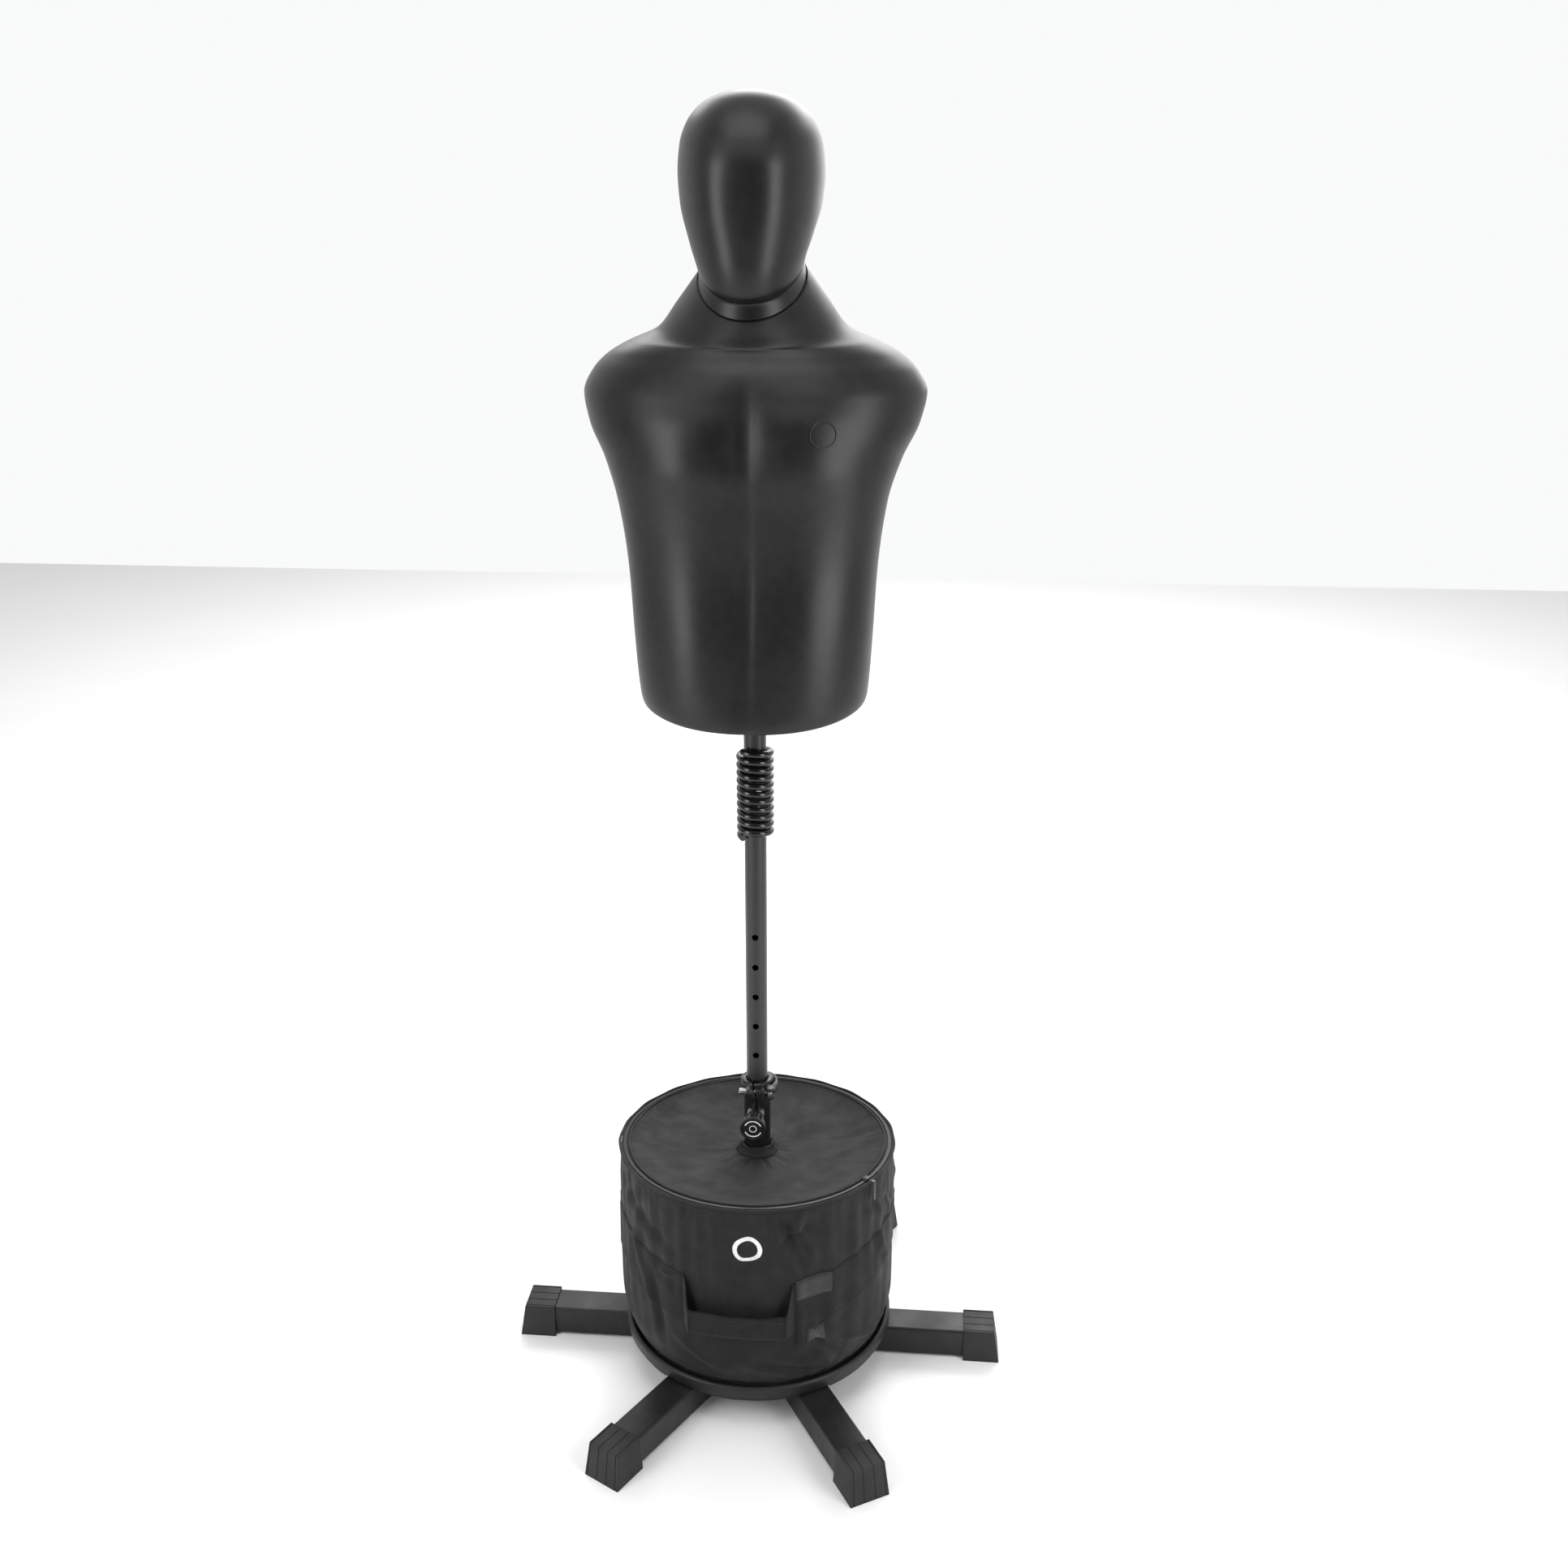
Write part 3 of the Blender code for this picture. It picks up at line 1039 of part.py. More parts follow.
def make_bag_band(mat, name, first, last):
    """Sewn band round one side of the bag, between the two handles."""
    inner = BAG_RADIUS + BAG_FLAT_ROOM
    outer = inner + BAND_THICKNESS

    def section(_):
        return ((inner, BAND_BOTTOM), (outer, BAND_BOTTOM), (outer, BAND_TOP), (inner, BAND_TOP))

    publish(name, arc_strip(section, first, last, 18), mat)


def make_handle(mat, name, middle):
    """Wide strap that bows out from the bag to leave room for a hand."""
    half = HANDLE_HEIGHT / 2
    low = HANDLE_MIDDLE - half
    high = HANDLE_MIDDLE + half
    inner = BAG_RADIUS + BAG_FLAT_ROOM

    def section(share):
        bow = min(1.0, 3.2 * min(share, 1 - share))
        near = inner + HANDLE_STAND_OFF * math.sin(bow * math.pi / 2)
        far = near + HANDLE_THICKNESS
        return ((near, low), (far, low), (far, high), (near, high))

    reach = HANDLE_HALF_ANGLE - 0.8
    bm = arc_strip(section, middle - reach, middle + reach, 14)
    publish(name, bm, mat)


def make_ballast(mat):
    """Ring-shaped sack of sand round the outer tube, inside the bag."""
    hole = OUTER_RADIUS + BAG_TUBE_ROOM + SACK_ROOM
    bottom = BAG_BOTTOM + BAG_WALL + GAP
    bm = turned_ring((
        (hole, bottom), (SACK_RADIUS - 0.6 * SACK_EDGE, bottom), (SACK_RADIUS, bottom + 0.75 * SACK_EDGE),
        (SACK_RADIUS, SACK_TOP - SACK_EDGE), (SACK_RADIUS - SACK_EDGE, SACK_TOP), (hole, SACK_TOP),
    ), 32)
    publish("ballast_sack", bm, mat)


# ---------------------------------------------------------------- assembly
def build():
    """Make every piece of the mannequin."""
    clear_scene()
    black_steel = material("black_steel", (0.030, 0.030, 0.032), 0.42, 0.6)
    bare_steel = material("bare_steel", (0.55, 0.55, 0.56), 0.30, 1.0)
    gloss_steel = material("gloss_steel", (0.012, 0.012, 0.013), 0.15, 0.7)
    tray_plastic = material("tray_plastic", (0.035, 0.035, 0.037), 0.50)
    cap_plastic = material("cap_plastic", (0.040, 0.040, 0.042), 0.60)
    bush_plastic = material("bush_plastic", (0.10, 0.10, 0.10), 0.45)
    knob_plastic = material("knob_plastic", (0.015, 0.015, 0.016), 0.35)
    clamp_metal = material("clamp_metal", (0.020, 0.020, 0.022), 0.30, 0.8)
    bag_fabric = material("bag_fabric", (0.045, 0.045, 0.048), 0.85)
    webbing = material("webbing", (0.030, 0.030, 0.032), 0.90)
    sand = material("sand", (0.45, 0.38, 0.28), 0.95)
    skin = material("body_skin", (0.020, 0.020, 0.022), 0.35)
    foam = material("foam", (0.60, 0.58, 0.50), 0.95)
    plywood = material("plywood", (0.50, 0.36, 0.22), 0.70)

    make_hub(black_steel)
    for number, angle in enumerate(leg_angles(), 1):
        make_leg(number, angle, black_steel)
        make_leg_cap(number, angle, cap_plastic)
        make_leg_bolt(number, angle, bare_steel)
    make_tray(tray_plastic)

    make_outer_tube(black_steel)
    make_guide_bush(bush_plastic)
    make_mast(black_steel)
    make_mast_foot(bush_plastic)

    make_clamp_collar(clamp_metal)
    make_clamp_skewer(bare_steel)
    make_clamp_nut(clamp_metal)
    make_clamp_pivot(bare_steel)
    make_clamp_lever(clamp_metal)
    make_clamp_washer(bush_plastic)

    make_pin_barrel(black_steel)
    make_lock_pin(bare_steel)
    make_pull_knob(knob_plastic)
    make_knob_disc(knob_plastic)

    make_coil_spring(gloss_steel)
    make_upper_post(black_steel)

    make_torso_mount(bare_steel, plywood)
    make_torso(skin, foam)
    make_head(skin, foam)

    make_bag_shell(bag_fabric)
    make_bag_lid(bag_fabric)
    make_bag_sleeve(bag_fabric)
    make_zip_tape(webbing)
    make_zip_slider(clamp_metal)
    make_zip_pull(clamp_metal)
    front = HANDLE_TURN
    edge = HANDLE_HALF_ANGLE
    make_handle(webbing, "front_handle", front)
    make_handle(webbing, "rear_handle", front + 180)
    make_bag_band(webbing, "right_band", front + edge, front + 180 - edge)
    make_bag_band(webbing, "left_band", front + 180 + edge, front + 360 - edge)
    make_ballast(sand)


build()
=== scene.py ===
# %% [markdown]
# # A body opponent mannequin, cell by cell
# The mannequin is a foam torso and head in a black vinyl skin. It rocks on a coil spring, at the
# top of a mast that slides in an outer tube, over six legs, a tray and a bag of sand. This script
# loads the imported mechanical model, keeps its places and sizes, and makes the surfaces that show.

import json
import math

import bmesh
import bpy
import numpy as np
from mathutils import Matrix, Vector
from mathutils.bvhtree import BVHTree


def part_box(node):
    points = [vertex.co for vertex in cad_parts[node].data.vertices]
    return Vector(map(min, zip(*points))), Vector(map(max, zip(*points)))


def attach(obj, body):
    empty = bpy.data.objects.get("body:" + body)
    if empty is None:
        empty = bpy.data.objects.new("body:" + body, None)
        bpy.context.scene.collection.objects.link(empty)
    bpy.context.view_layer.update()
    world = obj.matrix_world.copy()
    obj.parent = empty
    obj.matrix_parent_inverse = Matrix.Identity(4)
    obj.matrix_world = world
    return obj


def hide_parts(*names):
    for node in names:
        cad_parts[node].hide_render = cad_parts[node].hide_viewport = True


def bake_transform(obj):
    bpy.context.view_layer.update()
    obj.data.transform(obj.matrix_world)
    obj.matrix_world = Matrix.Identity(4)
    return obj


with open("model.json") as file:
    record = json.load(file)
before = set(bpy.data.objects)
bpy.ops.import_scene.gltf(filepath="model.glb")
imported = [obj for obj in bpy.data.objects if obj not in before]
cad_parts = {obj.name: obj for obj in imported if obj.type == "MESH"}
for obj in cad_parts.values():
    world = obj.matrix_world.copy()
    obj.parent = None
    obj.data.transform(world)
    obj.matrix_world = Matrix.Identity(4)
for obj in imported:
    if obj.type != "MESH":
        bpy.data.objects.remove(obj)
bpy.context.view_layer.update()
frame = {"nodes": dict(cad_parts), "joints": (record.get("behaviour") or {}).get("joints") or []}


def linked(obj):
    """Put a new object in the scene."""
    bpy.context.scene.collection.objects.link(obj)
    return obj



# %% [markdown]
# ## Camera, floor and light
# The camera stands a little above head height and looks down, so the tray shows its inside. A
# black object needs light to be reflected in it: two tall soft boxes draw long bright streaks down
# the chest, and the surround is pale behind the object and dim in front of it, so the middle of the
# chest stays deep and the edges stay readable. A wide box over the floor behind keeps it as pale as
# the surround. They come first, because every later choice of gloss and colour is judged under them.

# %% Camera
CAMERA_PLACE = (0.2218, -2.0460, 1.675)
CAMERA_TILT = 70.61
CAMERA_PAN = 5.05
CAMERA_LENS = 35.26
CAMERA_SENSOR = 36.0
camera_data = bpy.data.cameras.new("camera")
camera_data.lens = CAMERA_LENS
camera_data.sensor_width = CAMERA_SENSOR
camera = linked(bpy.data.objects.new("camera", camera_data))
camera.location = CAMERA_PLACE
camera.rotation_euler = (math.radians(CAMERA_TILT), 0, math.radians(CAMERA_PAN))
bpy.context.scene.camera = camera
print("camera", CAMERA_PLACE)

# %% Lights and the pale surround
SOFT_BOXES = (
    # name, place, what it aims at, width, height, watts
    ("left_box", (-1.75, -1.75, 1.7), (0.0, 0.0, 1.15), 1.0, 2.6, 50.0),
    ("right_box", (2.05, -1.45, 1.6), (0.0, 0.0, 1.15), 1.0, 2.6, 50.0),
    ("top_box", (0.0, -0.9, 3.3), (0.0, 0.0, 1.0), 1.8, 1.2, 22.0),
    ("floor_box", (0.0, 3.6, 3.6), (0.0, 3.55, 0.0), 5.0, 3.0, 150.0),
    ("back_box", (0.6, 2.6, 2.4), (0.0, 0.0, 1.1), 2.0, 2.0, 30.0),
)
for light_name, place, aim, wide, tall, power in SOFT_BOXES:
    light_data = bpy.data.lights.new(light_name, "AREA")
    light_data.shape = "RECTANGLE"
    light_data.size = wide
    light_data.size_y = tall
    light_data.energy = power
    light = linked(bpy.data.objects.new(light_name, light_data))
    light.location = place
    light.rotation_euler = (Vector(place) - Vector(aim)).to_track_quat("Z", "Y").to_euler()
SURROUND_COLOR = (0.95, 0.955, 0.96, 1)
SURROUND_FALL = (-0.45, 0.35, 0.05, 1.0)  # towards the front, towards the back, and the strength there
world = bpy.data.worlds.new("surround")
world.use_nodes = True
sky = world.node_tree
sky.nodes["Background"].inputs["Color"].default_value = SURROUND_COLOR
direction = sky.nodes.new("ShaderNodeTexCoord")
parts = sky.nodes.new("ShaderNodeSeparateXYZ")
fall_off = sky.nodes.new("ShaderNodeMapRange")
for socket, number in zip(list(fall_off.inputs)[1:5], SURROUND_FALL):
    socket.default_value = number
sky.links.new(direction.outputs["Generated"], parts.inputs[0])
sky.links.new(parts.outputs["Y"], fall_off.inputs[0])
sky.links.new(fall_off.outputs[0], sky.nodes["Background"].inputs["Strength"])
bpy.context.scene.world = world
bpy.context.scene.view_settings.view_transform = "Standard"
print(len(SOFT_BOXES), "soft boxes")

# %% [markdown]
# ## Materials
# Everything here is nearly black, so the finishes differ in how they scatter light and not in
# their colour: satin vinyl, powder coat, gloss paint, moulded plastic, woven polyester. Each one
# starts from the same small set of helpers: a colour that drifts a little, a roughness that
# drifts a little, and a height that bends the normals. All of them read Object coordinates, which
# stay with a piece when it moves.


# %% Material helpers
class Finish:
    """A Principled material whose nodes are added one by one."""

    def __init__(self, name, color, roughness, metallic=0.0, specular=0.5):
        self.material = bpy.data.materials.new(name)
        self.material.use_nodes = True
        self.nodes = self.material.node_tree.nodes
        self.links = self.material.node_tree.links
        self.shader = self.nodes["Principled BSDF"]
        self.shader.inputs["Base Color"].default_value = (*color, 1)
        self.shader.inputs["Roughness"].default_value = roughness
        self.shader.inputs["Metallic"].default_value = metallic
        self.shader.inputs["Specular IOR Level"].default_value = specular
        self.where = self.nodes.new("ShaderNodeTexCoord").outputs["Object"]
        self.normal = None

    def node(self, kind, **settings):
        made = self.nodes.new(kind)
        for key, value in settings.items():
            setattr(made, key, value)
        return made

    def math(self, operation, a, b=None, c=None):
        made = self.node("ShaderNodeMath", operation=operation)
        for socket, value in zip(made.inputs, (a, b, c)):
            if isinstance(value, (int, float)):
                socket.default_value = value
            elif value is not None:
                self.links.new(value, socket)
        return made.outputs[0]

    def noise(self, scale, detail=3.0, stretch=(1, 1, 1), rough=0.5):
        mapping = self.node("ShaderNodeMapping")
        mapping.inputs["Scale"].default_value = stretch
        self.links.new(self.where, mapping.inputs["Vector"])
        made = self.node("ShaderNodeTexNoise")
        made.inputs["Scale"].default_value = scale
        made.inputs["Detail"].default_value = detail
        made.inputs["Roughness"].default_value = rough
        self.links.new(mapping.outputs[0], made.inputs["Vector"])
        return made.outputs[0]

    def spread(self, value, low, high, start=0.3, end=0.7):
        made = self.node("ShaderNodeMapRange")
        for socket, number in zip(list(made.inputs)[1:5], (start, end, low, high)):
            socket.default_value = number
        self.links.new(value, made.inputs[0])
        return made.outputs[0]

    def color_drift(self, value, dark, light, start=0.3, end=0.7):
        ramp = self.node("ShaderNodeValToRGB")
        ramp.color_ramp.elements[0].position = start
        ramp.color_ramp.elements[0].color = (*dark, 1)
        ramp.color_ramp.elements[1].position = end
        ramp.color_ramp.elements[1].color = (*light, 1)
        self.links.new(value, ramp.inputs[0])
        self.links.new(ramp.outputs[0], self.shader.inputs["Base Color"])

    def roughness_drift(self, value, low, high, start=0.3, end=0.7):
        self.links.new(self.spread(value, low, high, start, end), self.shader.inputs["Roughness"])

    def height(self, value, distance, strength=1.0):
        bump = self.node("ShaderNodeBump")
        bump.inputs["Strength"].default_value = strength
        bump.inputs["Distance"].default_value = distance
        self.links.new(value, bump.inputs["Height"])
        if self.normal is not None:
            self.links.new(self.normal, bump.inputs["Normal"])
        self.normal = bump.outputs[0]
        self.links.new(self.normal, self.shader.inputs["Normal"])


print("helpers ready")

# %% [markdown]
# The skin is poured vinyl. It has a fine leathery grain, thinly glossy, and long soft changes in
# gloss where it was pulled from the mould.


# %% Vinyl skin
def vinyl_skin():
    """Satin black vinyl with a fine grain."""
    skin = Finish("vinyl_skin", (0.006, 0.006, 0.0065), 0.38, specular=0.38)
    drift = skin.noise(7.0, 3.0, (1, 1, 0.5))
    skin.roughness_drift(drift, 0.33, 0.43)
    skin.color_drift(skin.noise(60.0, 4.0), (0.004, 0.004, 0.0044), (0.0075, 0.0075, 0.008))
    pores = skin.node("ShaderNodeTexVoronoi", feature="SMOOTH_F1")
    pores.inputs["Scale"].default_value = 520.0
    skin.links.new(skin.where, pores.inputs["Vector"])
    skin.height(pores.outputs["Distance"], 0.00012, 0.35)
    skin.height(skin.noise(1500.0, 2.0), 0.00005, 0.4)
    return skin.material


SKIN = vinyl_skin()
print(SKIN.name, "made")

# %% [markdown]
# Paint and plastic. Powder coat has an orange-peel surface about a millimetre across, gloss paint
# is almost a mirror with faint waves, and moulded plastic keeps the fine sparkle of its mould.


# %% Paints, plastics and bare metal
def powder_coat():
    """Satin black powder coat, slightly worn to grey."""
    coat = Finish("powder_coat", (0.009, 0.009, 0.010), 0.42, specular=0.35)
    wear = coat.noise(26.0, 6.0, rough=0.62)
    coat.color_drift(wear, (0.009, 0.009, 0.010), (0.020, 0.020, 0.021), 0.35, 0.8)
    coat.roughness_drift(coat.noise(12.0, 5.0), 0.34, 0.52)
    coat.height(coat.noise(750.0, 2.0), 0.00018, 0.35)
    return coat.material


def gloss_paint(name, low, high, color):
    """Sprayed gloss black with faint waves."""
    paint = Finish(name, color, low, specular=0.45)
    paint.color_drift(paint.noise(18.0, 4.0), color, tuple(1.6 * c for c in color))
    paint.roughness_drift(paint.noise(24.0, 5.0, (1, 1, 0.25)), low, high)
    paint.shader.inputs["Coat Weight"].default_value = 0.20
    paint.shader.inputs["Coat Roughness"].default_value = 0.12
    paint.height(paint.noise(160.0, 2.0), 0.00006, 0.5)
    return paint.material


def moulded_plastic(name, color, low, high, grain):
    """Black moulded plastic with a spark-eroded grain."""
    plastic = Finish(name, color, low, specular=0.34)
    light = tuple(1.55 * c for c in color)
    plastic.color_drift(plastic.noise(35.0, 6.0, rough=0.6), color, light, 0.3, 0.8)
    plastic.roughness_drift(plastic.noise(15.0, 4.0), low, high)
    plastic.height(plastic.noise(grain, 3.0), 0.00015, 0.55)
    return plastic.material


def bare_metal():
    """Zinc-plated steel with fine turning marks."""
    metal = Finish("zinc_steel", (0.50, 0.50, 0.49), 0.30, metallic=1.0)
    metal.color_drift(metal.noise(120.0, 4.0), (0.40, 0.40, 0.39), (0.60, 0.60, 0.58))
    metal.roughness_drift(metal.noise(600.0, 4.0, (1, 1, 12)), 0.22, 0.42)
    metal.height(metal.noise(900.0, 2.0, (0.2, 0.2, 4)), 0.00003, 0.4)
    return metal.material


def anodised():
    """Black anodised aluminium of the clamp and the zip's slider."""
    metal = Finish("anodised_black", (0.035, 0.035, 0.037), 0.30, metallic=0.75)
    metal.color_drift(metal.noise(70.0, 4.0), (0.022, 0.022, 0.024), (0.055, 0.055, 0.058))
    metal.roughness_drift(metal.noise(300.0, 4.0), 0.22, 0.38)
    metal.height(metal.noise(1200.0, 2.0), 0.00003, 0.4)
    return metal.material


COAT = powder_coat()
POST_PAINT = gloss_paint("post_paint", 0.24, 0.36, (0.005, 0.005, 0.0055))
SPRING_PAINT = gloss_paint("spring_paint", 0.15, 0.26, (0.004, 0.004, 0.0045))
CAP_PLASTIC = moulded_plastic("cap_plastic", (0.013, 0.013, 0.014), 0.48, 0.66, 1100.0)
TRAY_PLASTIC = moulded_plastic("tray_plastic", (0.010, 0.010, 0.011), 0.40, 0.60, 800.0)
KNOB_PLASTIC = moulded_plastic("knob_plastic", (0.008, 0.008, 0.009), 0.28, 0.42, 1300.0)
BUSH_PLASTIC = moulded_plastic("bush_plastic", (0.05, 0.05, 0.05), 0.40, 0.55, 1300.0)
ZINC = bare_metal()
ANODISED = anodised()
print("paints and plastics made")

# %% [markdown]
# Cloth is woven: threads pass over and under one another. On the bag's wall the threads run round
# it and up it, so the pattern is drawn in cylinder coordinates, with a whole number of threads
# round the bag. On the lid they run straight across. A coarser, soft noise on top gives the
# crumpled sheen of thin coated polyester.


# %% Woven cloth
THREAD_PITCH = 0.0009
BAG_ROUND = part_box("bag_shell")[1].x


def woven(name, color, wrapped, low, high, pitch=THREAD_PITCH, rib=1.0):
    """Black cloth whose threads run round and up a bag, or straight across a panel."""
    cloth = Finish(name, color, high, specular=0.22)
    axes = cloth.node("ShaderNodeSeparateXYZ")
    cloth.links.new(cloth.where, axes.inputs[0])
    x, y, z = axes.outputs
    if wrapped:
        turns = round(math.pi * BAG_ROUND / pitch)
        across = cloth.math("MULTIPLY", cloth.math("ARCTAN2", y, x), turns)
        along = cloth.math("MULTIPLY", z, math.pi / pitch * rib)
    else:
        across = cloth.math("MULTIPLY", x, math.pi / pitch)
        along = cloth.math("MULTIPLY", y, math.pi / pitch * rib)
    warp = cloth.math("SINE", across)
    weft = cloth.math("SINE", along)
    over = cloth.math("GREATER_THAN", cloth.math("MULTIPLY", warp, weft), 0.0)
    warp_high = cloth.math("ABSOLUTE", warp)
    weft_high = cloth.math("ABSOLUTE", weft)
    picked = cloth.math("ADD", cloth.math("MULTIPLY", warp_high, over),
                        cloth.math("MULTIPLY", weft_high, cloth.math("SUBTRACT", 1.0, over)))
    # The raised crown of each thread is painted lighter, a painted highlight, mixed with a random drift of
    # tone.
    light = tuple(2.1 * c for c in color)
    crown_highlight_and_tone = cloth.math("ADD", cloth.math("MULTIPLY", picked, 0.35), cloth.noise(45.0, 6.0, rough=0.65))
    cloth.color_drift(crown_highlight_and_tone, color, light, 0.45, 1.05)
    cloth.roughness_drift(cloth.noise(30.0, 5.0), low, high)
    cloth.shader.inputs["Sheen Weight"].default_value = 0.05
    cloth.shader.inputs["Sheen Roughness"].default_value = 0.45
    cloth.height(picked, 0.00016, 0.5)
    cloth.height(cloth.noise(85.0, 4.0), 0.0009, 0.35)
    return cloth.material


BAG_CLOTH = woven("bag_cloth", (0.0065, 0.0065, 0.007), True, 0.55, 0.75)
LID_CLOTH = woven("lid_cloth", (0.0065, 0.0065, 0.007), False, 0.55, 0.75)
WEBBING = woven("webbing", (0.006, 0.006, 0.0065), True, 0.62, 0.82, pitch=0.0016, rib=1.6)
PIPING = woven("piping_cloth", (0.007, 0.007, 0.0075), True, 0.50, 0.70, pitch=0.0011)
print("cloth made, one thread every", THREAD_PITCH * 1000, "mm")


# %% Small finishes: thread, print, hook patch, sand sack, floor
def plain_finish(name, color, roughness, scale, lift, sheen=0.0, drift=1.35):
    """A simple finish with a drifting colour and a fine relief."""
    made = Finish(name, color, roughness, specular=0.4)
    made.color_drift(made.noise(scale, 4.0), color, tuple(min(1.0, drift * c) for c in color))
    made.roughness_drift(made.noise(scale * 0.7, 3.0), roughness - 0.06, roughness + 0.06)
    made.height(made.noise(scale * 9, 3.0), lift, 0.5)
    made.shader.inputs["Sheen Weight"].default_value = sheen
    return made.material


THREAD = plain_finish("sewing_thread", (0.017, 0.017, 0.018), 0.60, 400.0, 0.00008)
ZIP_TEETH = plain_finish("zip_teeth", (0.022, 0.022, 0.023), 0.34, 300.0, 0.00004)
PRINT = plain_finish("white_print", (0.62, 0.62, 0.62), 0.55, 160.0, 0.00006)
HOOK_PATCH = plain_finish("hook_patch", (0.010, 0.010, 0.011), 0.90, 700.0, 0.0006, sheen=0.4)
SAND_CLOTH = plain_finish("sand_sack", (0.42, 0.36, 0.26), 0.90, 120.0, 0.0006)
PLY = plain_finish("birch_ply", (0.46, 0.33, 0.20), 0.65, 60.0, 0.0002)
FLOOR = plain_finish("floor", (0.92, 0.92, 0.92), 0.75, 2.0, 0.00001, drift=1.02)
print("small finishes made")

# %% [markdown]
# ## Mesh helpers
# Most pieces are grids of points: rings up a body, or sections along a strap. One helper turns
# rows of points into faces, another turns a profile about the mast, and a third puts the piece on
# its body and hides the mechanical node that it stands for.


# %% Mesh helpers
def crisp(obj, degrees):
    """Smooth shading, with the edges that turn more than an angle kept crisp."""
    obj.data.shade_smooth()
    obj.data.set_sharp_from_angle(angle=math.radians(degrees))


def angles(count):
    """Even steps once round."""
    return [2 * math.pi * i / count for i in range(count)]


def from_front(radius, angle):
    """The level place at a radius from the mast and an angle from the front."""
    return radius * math.sin(angle), -radius * math.cos(angle)


def new_piece(name, verts, faces, mat, smooth=True):
    """A mesh object at the origin from points and faces."""
    mesh = bpy.data.meshes.new(name)
    mesh.from_pydata([tuple(v) for v in verts], [], faces)
    mesh.materials.append(mat)
    mesh.update()
    obj = linked(bpy.data.objects.new(name, mesh))
    if smooth:
        crisp(obj, 38)
    return obj


def outwards(obj):
    """Merge doubles and point every face outwards."""
    bm = bmesh.new()
    bm.from_mesh(obj.data)
    bmesh.ops.remove_doubles(bm, verts=bm.verts, dist=1e-6)
    bmesh.ops.recalc_face_normals(bm, faces=bm.faces)
    bm.to_mesh(obj.data)
    bm.free()
    obj.data.update()
    return obj


def grid_faces(rows, columns, loop_rows=False, loop_columns=True):
    """Faces over rows of points, each row closed on itself unless told otherwise."""
    faces = []
    for r in range(rows if loop_rows else rows - 1):
        for c in range(columns if loop_columns else columns - 1):
            below, above = r * columns, (r + 1) % rows * columns
            nxt = (c + 1) % columns
            faces.append((below + c, below + nxt, above + nxt, above + c))
    return faces


def ringed(name, rings, mat, ends=True, loop=False):
    """A piece from closed rings of points, with its two ends filled."""
    count = len(rings[0])
    faces = grid_faces(len(rings), count, loop_rows=loop)
    if ends and not loop:
        faces.append(tuple(reversed(range(count))))
        faces.append(tuple(range((len(rings) - 1) * count, len(rings) * count)))
    return outwards(new_piece(name, [p for ring in rings for p in ring], faces, mat))


def level_ring(radius, height, sides):
    """Points of a level circle about the mast."""
    return [(radius * math.cos(a), radius * math.sin(a), height) for a in angles(sides)]


def turned(name, profile, mat, sides=96, hollow=False):
    """A piece turned about the mast from (radius, height) points."""
    return ringed(name, [level_ring(r, z, sides) for r, z in profile], mat, loop=hollow)


def points_of(obj):
    """A piece's points as rows of an array."""
    return np.array([v.co[:] for v in obj.data.vertices])


def put_points(obj, points):
    """Give a piece new places for its points."""
    obj.data.vertices.foreach_set("co", points.ravel())
    obj.data.update()


def surface_of(obj):
    """A piece's surface, ready to be hit by rays."""
    return BVHTree.FromObject(obj, bpy.context.evaluated_depsgraph_get())


def baked(obj):
    """Turn an object with modifiers into a plain mesh."""
    bpy.context.view_layer.update()
    graph = bpy.context.evaluated_depsgraph_get()
    mesh = bpy.data.meshes.new_from_object(obj.evaluated_get(graph))
    obj.modifiers.clear()
    old = obj.data
    obj.data = mesh
    if old.users == 0 and isinstance(old, bpy.types.Mesh):
        bpy.data.meshes.remove(old)
    return obj


def cut(obj, *cutters, operation="DIFFERENCE", take_material=False):
    """Cut other meshes out of a piece, or join them on, and remove them."""
    for cutter in cutters:
        modifier = obj.modifiers.new("cut", "BOOLEAN")
        modifier.operation = operation
        modifier.solver = "EXACT"
        modifier.object = cutter
        if take_material:
            modifier.material_mode = "TRANSFER"
    baked(obj)
    for cutter in cutters:
        bpy.data.objects.remove(cutter, do_unlink=True)
    return obj


def rounded(obj, width, segments=3, angle=30):
    """Round off a piece's sharp edges."""
    modifier = obj.modifiers.new("rounding", "BEVEL")
    modifier.width = width
    modifier.segments = segments
    modifier.limit_method = "ANGLE"
    modifier.angle_limit = math.radians(angle)
    modifier.harden_normals = False
    baked(obj)
    crisp(obj, 42)
    return obj


def fit(obj, body, slot_name, *nodes):
    """Put a finished piece on its body and let it stand for mechanical nodes."""
    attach(obj, body)
    if nodes:
        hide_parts(*nodes)
    return obj


def softened(node, name, mat, width, segments=3):
    """A copy of a mechanical node with its flat triangles joined and its edges rounded."""
    source = frame["nodes"][node]
    obj = linked(bpy.data.objects.new(name, source.data.copy()))
    obj.data.materials.clear()
    obj.data.materials.append(mat)
    bm = bmesh.new()
    bm.from_mesh(obj.data)
    bmesh.ops.remove_doubles(bm, verts=bm.verts, dist=1e-5)
    bmesh.ops.dissolve_limit(bm, angle_limit=math.radians(1.5), verts=bm.verts, edges=bm.edges)
    bm.to_mesh(obj.data)
    bm.free()
    for face in obj.data.polygons:
        face.material_index = 0
    return rounded(obj, width, segments)


print("mesh helpers ready")

# %% [markdown]
# ## A smooth line through given sizes
# The torso and the head are drawn from a few levels, each with a half-width and a reach to the
# front and the back. A monotone cubic passes through every level and never swells between two
# equal ones, so the shoulders stay where the levels put them.


